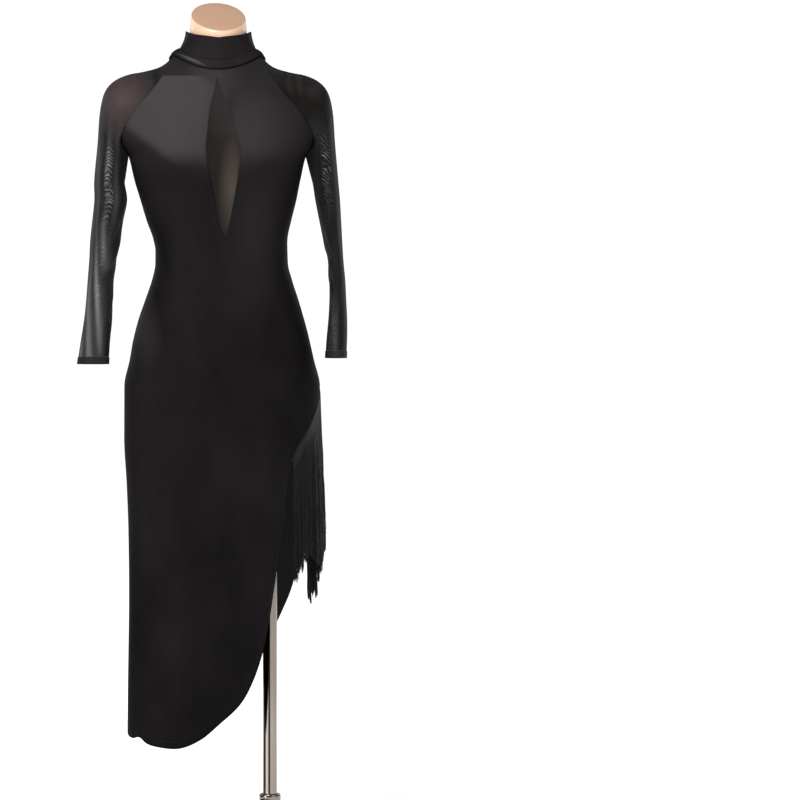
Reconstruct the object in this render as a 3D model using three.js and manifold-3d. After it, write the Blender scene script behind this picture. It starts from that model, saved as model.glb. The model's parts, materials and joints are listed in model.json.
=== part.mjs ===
// A ballroom dance dress on a limbless dress form. A floor stand carries the form, and the form wears a
// close-fitting black dress: net sleeves, a net keyhole in front, an open keyhole behind, a folded collar
// with bead buttons, and a skirt whose slit has a fringe on each edge.
// Millimetres, +Z up. The floor is z = 0, the front faces -Y and the wearer's left is +X.
import * as THREE from "three";
import { mergeVertices } from "three/addons/utils/BufferGeometryUtils.js";
import Module from "manifold-3d";

const wasm = await Module();
wasm.setup();

// Driving dimensions
const WALL = 1.5; // cloth
const SEAM = 0.3; // gap between two pieces that are sewn together
const CLEAR = 0.4; // gap between cloth and what lies on it
const ARMPIT_Z = 1240;
const SKIRT_TOP_Z = 900;
const SLIT_TOP_Z = 833;
const SIDE_HEM_Z = 223; // the foot of the side seam at the wearer's right
const COLUMNS = 18; // facets across a panel, even, so that one column runs down its middle
const SKIRT_ROWS = 10;

const BUST = { apart: 78, z: 1238, rise: 26, wide: 40, above: 46, below: 34 };
const COLLAR = { wall: 2, half: 57.5, deep: 56, foot: 1.9, stations: 46 };
const LAP = { overlap: 0.035, from: 0.86, rise: 2.6 }; // the one end over the other, in shares of the neckline
const COLLAR_LEVELS = [0, 0.22, 0.6, 1]; // shares of its height, the fold reaching up to the second
const FOLD = { down: 5, thick: 3.8, end: 0.05, clear: 1.8, taper: 0.07, thin: 0.35 };
const BINDING = { wide: 5, thick: 2.6 };
const CUFF = { tall: 13, wall: 1.9 };
const FRINGE = { wide: 7, thick: 3, steps: 2 };
const THREAD = { wide: 1.4, root: 0.62, rowApart: 1.5, stagger: 0.25, outer: 0.4, ragged: 14, sway: 5, tip: 0.8, spread: 8 };
const FORM = { bottom: 712, edge: 7, capTilt: 0.6, capRoll: -0.07, capZ: 1487 };
const POLE = { x: 90, radius: 12.5, sides: 24 };
const FERRULE = { radius: 19, top: 113, edge: 2 };
const SOCKET = { radius: 30, tall: 22 };
const BASE = { radius: 175, thick: 9, edge: 2.5, sides: 40 };

// A table: the first line names the columns, and each row becomes an object with those names.
function table(names, ...rows) {
  return rows.map((row) => Object.fromEntries(names.map((name, i) => [name, row[i]])));
}

// The dress and the form below the armpits: a half-width about a centre, and the depths before and behind.
const TORSO = table(
  ["z", "centre", "half", "front", "back", "power"],
  [190, -2, 159, 82, 88, 2.2],
  [300, -1.5, 158.5, 84, 90, 2.2],
  [448, -1, 157, 90, 98, 2.2],
  [575, 1, 160, 95, 106, 2.2],
  [660, 3, 165, 98, 112, 2.25],
  [745, 5, 171.5, 101, 117, 2.3],
  [833, 5.8, 172, 101, 118, 2.3],
  [880, 5.3, 162, 98, 113, 2.3],
  [915, 4.4, 155, 94, 108, 2.3],
  [950, 4.4, 146, 91, 102, 2.3],
  [986, 5.3, 134.5, 88, 95, 2.3],
  [1021, 5.6, 123, 86, 87, 2.25],
  [1050, 4.8, 116.5, 84, 82, 2.2],
  [1074, 4.4, 116, 83, 80, 2.2],
  [1092, 2.7, 117.7, 84, 80, 2.2],
  [1127, 0, 127.4, 87, 82, 2.2],
  [1163, -0.9, 137.2, 90, 85, 2.2],
  [1198, -2.7, 146, 91, 88, 2.2],
  [1240, -3, 156, 92, 91, 2.2],
);

// A panel above the armpit: where its raglan seam runs, how deep its middle is and how far its row dips
// there. across and depth shape the row, and even spaces its columns.
const YOKE_COLUMNS = ["z", "half", "seam", "middle", "dip", "across", "depth", "even"];
const FRONT_YOKE = table(
  YOKE_COLUMNS,
  [1256, 165, 22, 92.5, 0, 2.2, 1.9, 0.2],
  [1270, 168, 38, 93, 1, 2.2, 1.5, 0.5],
  [1286, 161, 52, 92, 2, 2.2, 1.25, 0.7],
  [1302, 152, 61, 91, 3, 2.3, 1.1, 0.8],
  [1320, 140, 68, 88, 5, 2.4, 1, 0.9],
  [1338, 122, 72, 84, 8, 2.4, 1, 1],
  [1357, 107.5, 69, 79, 11, 2.4, 1, 1],
  [1375, 95.5, 63, 73, 14.5, 2.3, 1, 1],
  [1396, 84, 52, 67, 19, 2.2, 1, 1],
  [1415, 73, 38, 60, 23.5, 2.1, 1, 1],
);
const BACK_YOKE = table(
  YOKE_COLUMNS,
  [1256, 166.5, 24, 92, 0, 2.2, 1.9, 0.2],
  [1270, 173, 40, 93, 1, 2.2, 1.5, 0.5],
  [1286, 167, 51, 93, 2.5, 2.2, 1.25, 0.7],
  [1302, 158.5, 60.5, 92, 4.5, 2.3, 1.1, 0.8],
  [1320, 151.5, 70, 90, 7, 2.4, 1, 0.9],
  [1337, 140, 72, 86, 10, 2.4, 1, 1],
  [1353, 124, 69, 81, 13.5, 2.4, 1, 1],
  [1370, 109, 62, 75, 17, 2.3, 1, 1],
  [1388, 93, 52, 68, 19, 2.2, 1, 1],
  [1408, 77, 39, 60, 24, 2.1, 1, 1],
);

// Each panel's lower edge, from the foot of the right side seam to the top of the slit on the left.
const FRONT_HEM = table(
  ["x", "z"],
  [-161, SIDE_HEM_Z],
  [-140, 212],
  [-113, 208],
  [-69, 203],
  [-33, 217],
  [1, 244],
  [37, 278],
  [60, 320],
  [80, 384],
  [95.5, 476],
  [111, 589],
  [127, 703],
  [160, 768],
  [178, SLIT_TOP_Z],
);
const BACK_HEM = table(
  ["x", "z"],
  [-161, SIDE_HEM_Z],
  [-136, 238],
  [-71, 267],
  [14, 310],
  [76, 365],
  [113, 432],
  [134, 490],
  [146, 570],
  [151, 655],
  [156, 697],
  [166, 761],
  [178, SLIT_TOP_Z],
);

// Soft folds of the skirt: where the fold stands at the hem, how it leans, and how far up it fades.
const SKIRT_FOLDS = table(
  ["side", "x", "lean", "wide", "depth", "from", "to"],
  [-1, -138, 0.02, 9, -5, 190, 330],
  [-1, -112, 0.05, 22, 5, 190, 480],
  [-1, -20, 0.16, 34, 6, 190, 620],
  [-1, 60, 0.1, 26, 5, 300, 700],
  [1, -120, 0.03, 26, 5, 190, 470],
  [1, -30, 0.12, 36, 6, 190, 620],
  [1, 70, 0.12, 30, 5, 300, 700],
);

// The front keyhole, a leaf that leans to the wearer's left, and the open back keyhole, an egg.
const FRONT_KEYHOLE = table(
  ["z", "centre", "half"],
  [1092, 12.4, 0],
  [1113, 9, 8.5],
  [1161, 9.5, 17],
  [1212, 8.3, 26.5],
  [1242, 7, 29.5],
  [1280, 4.5, 24],
  [1315, 2, 17.6],
  [1333, 0, 12],
  [1349, -1.5, 6],
  [1374.9, -2.6, 0],
);
const BACK_KEYHOLE = { top: 1363.6, bottom: 1081, half: 80, skew: 1.233 };

// Heights of the rows of the panels: the torso, and the two yokes up to the neckline.
const TORSO_ROWS = [900, 938, 976, 1014, 1050, 1074, 1092, 1106, 1127, 1150, 1176, 1204, ARMPIT_Z];
const FRONT_ROWS = [ARMPIT_Z, ...FRONT_YOKE.map((row) => row.z)];
const BACK_ROWS = [ARMPIT_Z, ...BACK_YOKE.map((row) => row.z)];

// The sleeve's shoulder: how far it has gone out and down on its way from the seams to the arm.
const SHOULDER = table(
  ["out", "down"],
  [0.18, 0.092],
  [0.4, 0.134],
  [0.6, 0.158],
  [0.77, 0.206],
  [0.86, 0.27],
  [0.92, 0.406],
  [0.955, 0.68],
);
const SHOULDER_SLOPE = 0.6; // the crown's way out for each way down
const LOW_TURN = 1.4; // a lower column goes out before it turns down
const SEAM_SWEEP = 144; // degrees of the arm that grow from each raglan seam
const SEAM_POWER = 0.62; // the arm's columns stand wider apart near the armpit
const PIT_COLUMNS = 4; // columns on each side of the armpit whose rows are evenly spaced
const NECK_STEPS = 4; // from the front yoke's corner over the shoulder to the back one's
const NECK_BULGE = 4;
const NECK_BELOW = { out: 6, down: 3.6, drop: 7 }; // how far below the neckline its second line runs

// The arms: centre, half-width seen from the front, place along Y and girth.
const ARM_COLUMNS = ["z", "x", "half", "y", "girth"];
const RIGHT_ARM = table(
  ARM_COLUMNS,
  [872, -221, 27.4, -20, 186],
  [880, -220.4, 27.2, -19, 188],
  [915, -216.8, 25.7, -15, 196],
  [950, -212.4, 24.8, -11, 204],
  [986, -209.7, 23.9, -8, 212],
  [1021, -208, 23, -6, 222],
  [1057, -203.5, 24.8, -4, 230],
  [1092, -200, 26.6, -3, 238],
  [1127, -195.6, 27.4, -2, 246],
  [1163, -190.5, 29, -1, 254],
  [1192, -193, 27, 0, 258],
);
const LEFT_ARM = table(
  ARM_COLUMNS,
  [883, 206.2, 18.6, -20, 186],
  [891, 206.4, 18.6, -19, 188],
  [920, 208, 18.2, -15, 196],
  [950, 209.6, 16.8, -11, 204],
  [986, 209.8, 15, -8, 212],
  [1021, 208.9, 14.2, -6, 222],
  [1057, 206, 13.8, -4, 230],
  [1092, 201, 16.8, -3, 238],
  [1127, 196.5, 19.5, -2, 246],
  [1163, 192, 22, -1, 254],
  [1192, 188.5, 23, 0, 260],
);

// The form above the armpits: shoulders without arms, then the neck.
const FORM_TOP = table(
  ["z", "centre", "half", "front", "back", "power"],
  [1262, -3, 150, 89, 88, 2.3],
  [1290, -3, 153, 87, 88, 2.3],
  [1310, -3, 172, 84, 86, 2.2],
  [1328, -3, 188, 80, 82, 2.2],
  [1345, -3, 192, 74, 77, 2.1],
  [1358, -3, 187, 67, 71, 2],
  [1368, -3, 173, 61, 64, 2],
  [1376, -3, 146, 57, 56, 1.9],
  [1384, -2, 113, 55, 53, 1.9],
  [1392, -2, 90, 54, 52, 1.9],
  [1401, -2, 76, 53, 51, 2],
  [1412, -1, 65, 52.5, 50.5, 2],
  [1426, -1, 56, 52, 50, 2],
  [1442, -1, 51, 51.5, 50, 2],
);

// How far the form stands inside the dress: nearest at the waist, and drawn in below the hip.
const FORM_EASE = table(
  ["z", "by"],
  [712, 11],
  [790, 7],
  [833, 4.2],
  [900, 3.2],
  [1014, 2.4],
  [1050, 1.4],
  [1074, 3],
  [1092, 3],
  [1240, 2.6],
);
const FORM_ROWS = [720, 760, SLIT_TOP_Z, 900, 938, 976, 1014, 1050, 1074, 1092, 1127, 1164, 1204, ARMPIT_Z];
const NECK = { centre: -1, half: 48.5, deep: 51 };

// The collar's upper edge by the angle from the middle of the front.
const COLLAR_TOP = table(
  ["angle", "z"],
  [0, 1444],
  [45, 1451],
  [90, 1460],
  [138, 1459],
  [160, 1444],
  [180, 1428],
);

// The fringe on each edge of the slit: its roots' reach, its threads in each row, and their length by root.
const FRINGE_FRONT = {
  from: 703,
  to: 826,
  threads: 30,
  lengths: table(["z", "long"], [703, 196], [765, 228], [800, 262], [826, 278]),
};
const FRINGE_BACK = {
  from: 625,
  to: 826,
  threads: 15,
  lengths: table(["z", "long"], [625, 166], [655, 196], [760, 268], [826, 246]),
};

// Bead buttons down the centre back.
const BUTTONS = table(
  ["name", "x", "z", "radius", "onCollar"],
  ["button_top", 3, 1415, 4.5, true],
  ["button_middle", 1, 1394, 4.5, true],
  ["button_keyhole", 6, 1377, 3.2, false],
);

const material = (name, color, roughness, metalness = 0, opacity = 1) =>
  new THREE.MeshStandardMaterial({ name, color, roughness, metalness, opacity, transparent: opacity < 1 });
const LOOKS = {
  velvet: () => material("black velvet", 0x1e1c1d, 0.7),
  net: () => material("black net", 0x2a2728, 0.8, 0, 0.8),
  band: () => material("black band", 0x141314, 0.75),
  fringe: () => material("black fringe", 0x151314, 0.6),
  bead: () => material("black bead", 0x0a0a0b, 0.15),
  form: () => material("form", 0xefc6a6, 0.5),
  chrome: () => material("chrome", 0xc8ccd0, 0.18, 1),
};

const mix = (a, b, f) => a + (b - a) * f;
const clamp = (value, low, high) => Math.min(high, Math.max(low, value));
const ease = (f) => clamp(f, 0, 1) ** 2 * (3 - 2 * clamp(f, 0, 1));
const bell = (distance, width) => Math.exp(-0.5 * (distance / width) ** 2);

// The table's row at a value of its key column, read off smooth curves that never overshoot the rows.
function rowAt(rows, key, value) {
  const at = clamp(value, rows[0][key], rows.at(-1)[key]);
  const i = clamp(rows.findIndex((row) => row[key] >= at) - 1, 0, rows.length - 2);
  const slope = (name, k) => (rows[k + 1][name] - rows[k][name]) / (rows[k + 1][key] - rows[k][key]);
  const tangent = (name, k) => {
    if (k === 0) return slope(name, 0);
    if (k === rows.length - 1) return slope(name, k - 1);
    const before = slope(name, k - 1);
    const after = slope(name, k);
    return before * after <= 0 ? 0 : (2 * before * after) / (before + after);
  };
  const span = rows[i + 1][key] - rows[i][key];
  const f = (at - rows[i][key]) / span;
  const found = {};
  for (const name of Object.keys(rows[i])) {
    const start = rows[i][name] * (1 + 2 * f) * (1 - f) ** 2 + tangent(name, i) * span * f * (1 - f) ** 2;
    const end = rows[i + 1][name] * f ** 2 * (3 - 2 * f) - tangent(name, i + 1) * span * f ** 2 * (1 - f);
    found[name] = start + end;
  }
  return found;
}

// A panel's rows from hem to neckline: its half of the torso, then its yoke.
function panelRows(depth, yoke) {
  const torso = TORSO.map((row) => ({
    z: row.z,
    centre: row.centre,
    half: row.half,
    seam: 0,
    middle: row[depth],
    dip: 0,
    across: row.power,
    depth: row.power,
    even: 0,
  }));
  return [...torso, ...yoke.map((row) => ({ centre: -3, ...row }))];
}
const FRONT = { side: -1, rows: panelRows("front", FRONT_YOKE), hem: FRONT_HEM };
const BACK = { side: 1, rows: panelRows("back", BACK_YOKE), hem: BACK_HEM };

// The bust stands forward of the plain section, on both sides of the middle.
function bustRise(x, z) {
  const height = bell(z - BUST.z, z > BUST.z ? BUST.above : BUST.below);
  return BUST.rise * height * (bell(x - BUST.apart, BUST.wide) + bell(x + BUST.apart, BUST.wide));
}

function foldRise(side, x, z) {
  let rise = 0;
  for (const fold of SKIRT_FOLDS) {
    if (fold.side !== side || z > fold.to) continue;
    const fade = ease((fold.to - z) / (fold.to - fold.from));
    rise += fold.depth * fade * bell(x - fold.x - fold.lean * (z - fold.from), fold.wide);
  }
  return rise;
}

// How far across its row a column stands, from -1 at the wearer's right seam to 1 at the left one.
const acrossRow = (row, t) => mix(Math.sin((Math.PI * t) / 2), t, row.even);

function panelPoint(panel, t, z, out = 0) {
  const row = rowAt(panel.rows, "z", z);
  const s = acrossRow(row, t);
  const x = row.centre + row.half * s;
  const round = Math.max(0, 1 - Math.abs(s) ** row.across) ** (1 / row.depth);
  const form = panel.side < 0 ? bustRise(x - row.centre, z) : 0;
  const relief = (form + foldRise(panel.side, x, z)) * Math.sqrt(round);
  const y = row.seam + (row.middle - row.seam) * round + relief + out;
  return new THREE.Vector3(x, panel.side * y, z - row.dip * (1 - s * s));
}

// The column that passes through x in the row at z.
function columnAt(panel, x, z) {
  const row = rowAt(panel.rows, "z", z);
  const s = clamp((x - row.centre) / row.half, -1, 1);
  let low = -1;
  let high = 1;
  for (let i = 0; i < 40; i++) {
    const t = (low + high) / 2;
    if (acrossRow(row, t) < s) low = t;
    else high = t;
  }
  return (low + high) / 2;
}

const middleZ = (panel, z) => z - rowAt(panel.rows, "z", z).dip;

// The sides of each keyhole at a height of the panel's middle line, or nothing where it is closed.
function frontKeyhole(z) {
  if (z <= FRONT_KEYHOLE[0].z + 1 || z >= FRONT_KEYHOLE.at(-1).z - 1) return null;
  const row = rowAt(FRONT_KEYHOLE, "z", z);
  return [row.centre - row.half, row.centre + row.half];
}
function backKeyhole(z, grow) {
  const top = BACK_KEYHOLE.top + grow;
  const bottom = BACK_KEYHOLE.bottom - grow;
  const f = (top - z) / (top - bottom);
  if (f <= 0.004 || f >= 0.996) return null;
  const half = (BACK_KEYHOLE.half + grow) * Math.sqrt(Math.sin(Math.PI * f ** BACK_KEYHOLE.skew));
  return [-half, half];
}

// One row of a panel. Where a keyhole is open the middle column is doubled, one for each side of it.
function panelRow(panel, z, keyhole) {
  const middle = COLUMNS / 2;
  const open = keyhole(middleZ(panel, z));
  const ends = open ? open.map((x) => columnAt(panel, x, z)) : [0, 0];
  const line = [];
  for (let i = 0; i <= COLUMNS; i++) {
    const t = i <= middle ? mix(-1, ends[0], i / middle) : mix(ends[1], 1, (i - middle) / middle);
    line.push(panelPoint(panel, t, z));
  }
  return { line, twin: open ? panelPoint(panel, ends[1], z) : null };
}

// The skirt's rows run from a level line down to the hem and the slit.
function skirtRow(panel, hem, f) {
  const line = hem.map(({ t, z }, i) =>
    panelPoint(panel, mix((2 * i) / COLUMNS - 1, t, f), mix(SKIRT_TOP_Z, z, f)),
  );
  return { line, twin: null };
}

// The panel's lower edge as one smooth curve in columns and heights, cut into equal steps.
function hemCurve(panel) {
  const points = panel.hem.map((row, i) => {
    const last = i === panel.hem.length - 1;
    const t = i === 0 ? -1 : last ? 1 : columnAt(panel, row.x, row.z);
    return new THREE.Vector3(t * TORSO[0].half, 0, row.z);
  });
  return new THREE.CatmullRomCurve3(points, false, "centripetal");
}
function hemColumns(panel) {
  const points = hemCurve(panel).getSpacedPoints(COLUMNS);
  return points.map((point, i) => {
    const t = i === 0 ? -1 : i === COLUMNS ? 1 : point.x / TORSO[0].half;
    return { t, z: point.z };
  });
}

// Cloth before it has a thickness: points on its middle surface, and the triangles between them.
function sheetFromRows(rows, closed = false) {
  const points = [];
  const middle = COLUMNS / 2;
  const starts = rows.map(({ line, twin }) => {
    const first = points.length;
    points.push(...line);
    if (twin) points.push(twin);
    return { first, twin: twin ? first + line.length : first + middle };
  });
  const width = rows[0].line.length;
  const index = (j, i, right) => {
    const column = i % width;
    return right && column === middle ? starts[j].twin : starts[j].first + column;
  };
  const triangles = [];
  for (let j = 0; j + 1 < rows.length; j++) {
    for (let i = 0; i < (closed ? width : width - 1); i++) {
      const right = !closed && i >= middle;
      const corners = [index(j, i, right), index(j, i + 1, right)];
      const above = [index(j + 1, i, right), index(j + 1, i + 1, right)];
      triangles.push([corners[0], corners[1], above[1]], [corners[0], above[1], above[0]]);
    }
  }
  return faceOut({ points, triangles });
}

const cross = (a, b) => new THREE.Vector3().crossVectors(a, b);
const between = (a, b) => new THREE.Vector3().subVectors(b, a);

function normalsOf({ points, triangles }) {
  const normals = points.map(() => new THREE.Vector3());
  for (const [a, b, c] of triangles) {
    const face = cross(between(points[a], points[b]), between(points[a], points[c]));
    for (const corner of [a, b, c]) normals[corner].add(face);
  }
  return normals;
}

// Turns a sheet's triangles round where they face its own middle.
function faceOut(sheet) {
  const middle = new THREE.Vector3();
  for (const point of sheet.points) middle.addScaledVector(point, 1 / sheet.points.length);
  let outward = 0;
  normalsOf(sheet).forEach((normal, i) => {
    outward += normal.dot(between(middle, sheet.points[i]));
  });
  if (outward < 0) sheet.triangles = sheet.triangles.map(([a, b, c]) => [a, c, b]);
  return sheet;
}

const place = (point) => [point.x, point.y, point.z].map((v) => `${Math.round(v * 1000)}`).join(" ");

// Sheets that share seam points get one normal at each of them, so that their walls meet squarely.
function sewTogether(sheets) {
  const shared = new Map();
  for (const sheet of sheets) {
    sheet.normals = normalsOf(sheet).map((normal) => normal.normalize());
    sheet.points.forEach((point, i) => {
      const sum = shared.get(place(point)) ?? new THREE.Vector3();
      shared.set(place(point), sum.add(sheet.normals[i]));
    });
  }
  for (const sheet of sheets) {
    const own = sheet.normals;
    sheet.normals = sheet.points.map((point) => shared.get(place(point)).clone().normalize());
    sheet.mitre = sheet.normals.map((normal, i) => 1 / Math.max(0.15, normal.dot(own[i])));
  }
}

function boundaryOf(triangles) {
  const edges = new Map();
  for (const [a, b, c] of triangles) {
    for (const [from, to] of [[a, b], [b, c], [c, a]]) {
      if (edges.has(`${to} ${from}`)) edges.delete(`${to} ${from}`);
      else edges.set(`${from} ${to}`, [from, to]);
    }
  }
  return [...edges.values()];
}

// Draws a sheet's edge in by half the gap that the seams keep, and further where they meet in a sharp fold.
function drawIn(sheet, gap) {
  const inward = new Map();
  for (const [from, to] of boundaryOf(sheet.triangles)) {
    const along = between(sheet.points[from], sheet.points[to]).normalize();
    for (const corner of [from, to]) {
      const across = cross(sheet.normals[corner], along).normalize();
      inward.set(corner, [...(inward.get(corner) ?? []), across]);
    }
  }
  for (const [corner, [one, other]] of inward) {
    const sum = one.clone().add(other);
    const step = (gap * sheet.mitre[corner]) / Math.max(0.6, 1 + one.dot(other));
    sheet.points[corner].addScaledVector(sum, step);
  }
}

// A closed body with its faces out, from corner points and triangles.
function bodyFrom(points, triangles) {
  let volume = 0;
  for (const [a, b, c] of triangles) volume += points[a].dot(cross(points[b], points[c]));
  const facing = volume < 0 ? triangles.map(([a, b, c]) => [a, c, b]) : triangles;
  const geometry = new THREE.BufferGeometry();
  geometry.setAttribute("position", new THREE.Float32BufferAttribute(points.flatMap((p) => p.toArray()), 3));
  geometry.setIndex(facing.flat());
  return geometry;
}

// The sheet's wall: its points moved half the wall out and half in, closed along the edge.
function thicken({ points, normals, triangles }, wall) {
  const moved = (by) => points.map((point, i) => point.clone().addScaledVector(normals[i], by));
  const inner = points.length;
  const faces = [...triangles, ...triangles.map(([a, b, c]) => [a + inner, c + inner, b + inner])];
  for (const [from, to] of boundaryOf(triangles)) {
    faces.push([to, from, from + inner], [to, from + inner, to + inner]);
  }
  return bodyFrom([...moved(wall / 2), ...moved(-wall / 2)], faces);
}

// A body through rings of equal count, closed by a flat cap at each end, or joined end to end.
function bodyThrough(rings, joined = false) {
  const size = rings[0].length;
  const points = rings.flat();
  const faces = [];
  const count = joined ? rings.length : rings.length - 1;
  for (let j = 0; j < count; j++) {
    const next = (j + 1) % rings.length;
    for (let i = 0; i < size; i++) {
      const k = (i + 1) % size;
      faces.push([j * size + i, j * size + k, next * size + k]);
      faces.push([j * size + i, next * size + k, next * size + i]);
    }
  }
  if (joined) return bodyFrom(points, faces);
  for (const [ring, turn] of [[0, true], [rings.length - 1, false]]) {
    if (size === 3) {
      const corners = [ring * size, ring * size + 1, ring * size + 2];
      faces.push(turn ? corners.reverse() : corners);
      continue;
    }
    const middle = new THREE.Vector3();
    for (const point of rings[ring]) middle.addScaledVector(point, 1 / size);
    points.push(middle);
    for (let i = 0; i < size; i++) {
      const pair = [ring * size + i, ring * size + ((i + 1) % size)];
      faces.push([points.length - 1, ...(turn ? pair.reverse() : pair)]);
    }
  }
  return bodyFrom(points, faces);
}

function lathe(sides, ...profile) {
  const corners = profile.map(([radius, z]) => new THREE.Vector2(radius, z));
  return new THREE.LatheGeometry(corners, sides).rotateX(Math.PI / 2);
}

// Merged solids, for joining a fringe's threads to their strip.
function solidOf(geometry) {
  const bare = new THREE.BufferGeometry();
  bare.setAttribute("position", geometry.getAttribute("position"));
  bare.setIndex(geometry.getIndex());
  const merged = mergeVertices(bare, 1e-4);
  const mesh = new wasm.Mesh({
    numProp: 3,
    vertProperties: merged.getAttribute("position").array,
    triVerts: new Uint32Array(merged.getIndex().array),
  });
  return new wasm.Manifold(mesh);
}
function geometryOf(solid) {
  const { vertProperties, triVerts } = solid.getMesh();
  const geometry = new THREE.BufferGeometry();
  geometry.setAttribute("position", new THREE.Float32BufferAttribute(vertProperties, 3));
  geometry.setIndex(new THREE.Uint32BufferAttribute(triVerts, 1));
  return geometry;
}

const dress = new THREE.Group();
function add(name, geometry, look) {
  const mesh = new THREE.Mesh(geometry, LOOKS[look]());
  mesh.name = name;
  dress.add(mesh);
  return mesh;
}

// Panels
function panelSheet(panel, yokeRows, keyhole) {
  const rows = [];
  const hem = hemColumns(panel);
  for (let k = SKIRT_ROWS; k > 0; k--) rows.push(skirtRow(panel, hem, k / SKIRT_ROWS));
  for (const z of TORSO_ROWS) rows.push(panelRow(panel, z, keyhole));
  for (const z of yokeRows.slice(1)) rows.push(panelRow(panel, z, keyhole));
  return sheetFromRows(rows);
}

// Sleeves
function sleeveLoop(sign) {
  const front = FRONT_ROWS.map((z) => panelPoint(FRONT, sign, z));
  const back = BACK_ROWS.map((z) => panelPoint(BACK, sign, z));
  const sweep = (j, last) => SEAM_SWEEP * (j / last) ** SEAM_POWER;
  const pit = (j) => Math.max(0, 1 - j / PIT_COLUMNS);
  const columns = front.map((point, j) => ({ point, angle: sweep(j, front.length - 1), pit: pit(j) }));
  for (let k = 1; k < NECK_STEPS; k++) {
    const f = k / NECK_STEPS;
    const point = front.at(-1).clone().lerp(back.at(-1), f);
    point.x += sign * NECK_BULGE * 4 * f * (1 - f);
    columns.push({ point, angle: SEAM_SWEEP + (360 - 2 * SEAM_SWEEP) * f, pit: 0 });
  }
  for (let j = back.length - 1; j > 0; j--) {
    columns.push({ point: back[j], angle: 360 - sweep(j, back.length - 1), pit: pit(j) });
  }
  return columns;
}

function armPoint(row, sign, angle, out = 0) {
  const depth = Math.sqrt(2 * (row.girth / (2 * Math.PI)) ** 2 - row.half ** 2);
  const turn = THREE.MathUtils.degToRad(angle);
  const x = row.x - sign * (row.half + out) * Math.cos(turn);
  return new THREE.Vector3(x, row.y - (depth + out) * Math.sin(turn), row.z);
}

function sleeveSheet(arm, sign) {
  const columns = sleeveLoop(sign);
  const top = arm.at(-1);
  const rows = [columns.map(({ point }) => point.clone())];
  SHOULDER.forEach(({ out, down: crownDown }, k) => {
    const even = (k + 1) / (SHOULDER.length + 1);
    rows.push(
      columns.map(({ point, angle, pit }) => {
        const end = armPoint(top, sign, angle);
        const slope = Math.abs(end.x - point.x) / Math.abs(end.z - point.z);
        const down = crownDown ** (1 + LOW_TURN * Math.max(0, 1 - slope / SHOULDER_SLOPE));
        return new THREE.Vector3(
          mix(point.x, end.x, mix(out, even, pit)),
          mix(point.y, end.y, mix(out, even, pit)),
          mix(point.z, end.z, mix(down, even, pit)),
        );
      }),
    );
  });
  const cuffTop = arm[0].z + CUFF.tall;
  const heights = arm.map((row) => row.z).filter((z) => z > cuffTop + 8);
  for (const z of [...heights.reverse(), cuffTop]) {
    const row = rowAt(arm, "z", z);
    rows.push(columns.map(({ angle }) => armPoint(row, sign, angle)));
  }
  return sheetFromRows(rows.map((line) => ({ line, twin: null })), true);
}

function cuffBody(arm, sign) {
  const angles = sleeveLoop(sign).map(({ angle }) => angle);
  const levels = [arm[0].z, arm[0].z + CUFF.tall - SEAM];
  const ring = (z, out) => angles.map((angle) => armPoint(rowAt(arm, "z", z), sign, angle, out));
  const outer = CUFF.wall / 2;
  const rings = [ring(levels[0], outer), ring(levels[1], outer), ring(levels[1], -outer), ring(levels[0], -outer)];
  return bodyThrough(rings, true);
}

// Front keyhole inset, on the panel's own surface
function insetSheet() {
  const columns = 4;
  const heights = [...TORSO_ROWS, ...FRONT_ROWS.slice(1)];
  const points = [];
  const triangles = [];
  const rows = heights
    .map((z) => ({ z, open: frontKeyhole(middleZ(FRONT, z)) }))
    .filter(({ open }) => open)
    .map(({ z, open }) => {
      const ends = open.map((x) => columnAt(FRONT, x, z));
      const first = points.length;
      for (let i = 0; i <= columns; i++) {
        points.push(panelPoint(FRONT, mix(ends[0], ends[1], i / columns), z));
      }
      return first;
    });
  for (let j = 0; j + 1 < rows.length; j++) {
    for (let i = 0; i < columns; i++) {
      const [a, b, c, d] = [rows[j] + i, rows[j] + i + 1, rows[j + 1] + i + 1, rows[j + 1] + i];
      triangles.push([a, b, c], [a, c, d]);
    }
  }
  const tip = (z) => panelPoint(FRONT, 0, z);
  const lowest = heights.find((z) => frontKeyhole(middleZ(FRONT, z)));
  const highest = heights.findLast((z) => frontKeyhole(middleZ(FRONT, z)));
  const below = heights[heights.indexOf(lowest) - 1];
  const above = heights[heights.indexOf(highest) + 1];
  const foot = points.push(tip(below)) - 1;
  const head = points.push(tip(above)) - 1;
  for (let i = 0; i < columns; i++) {
    triangles.push([foot, rows[0] + i + 1, rows[0] + i]);
    triangles.push([head, rows.at(-1) + i, rows.at(-1) + i + 1]);
  }
  return faceOut({ points, triangles });
}

// Back keyhole binding: a band that fills the panel's opening down to the open egg
function bindingBody(panelEdge) {
  const centre = new THREE.Vector3(0, 0, (BACK_KEYHOLE.top + BACK_KEYHOLE.bottom) / 2);
  const rings = panelEdge.map(({ point, normal }, i) => {
    const before = panelEdge.at(i - 1).point;
    const after = panelEdge[(i + 1) % panelEdge.length].point;
    const along = between(before, after).normalize();
    const inward = cross(along, normal).normalize();
    if (inward.dot(between(point, centre)) < 0) inward.negate();
    const corner = (across, up) =>
      point.clone().addScaledVector(inward, across).addScaledVector(normal, up);
    const half = BINDING.thick / 2;
    return [
      corner(SEAM, half),
      corner(SEAM + BINDING.wide, half),
      corner(SEAM + BINDING.wide, -half),
      corner(SEAM, -half),
    ];
  });
  return bodyThrough(rings, true);
}

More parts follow.
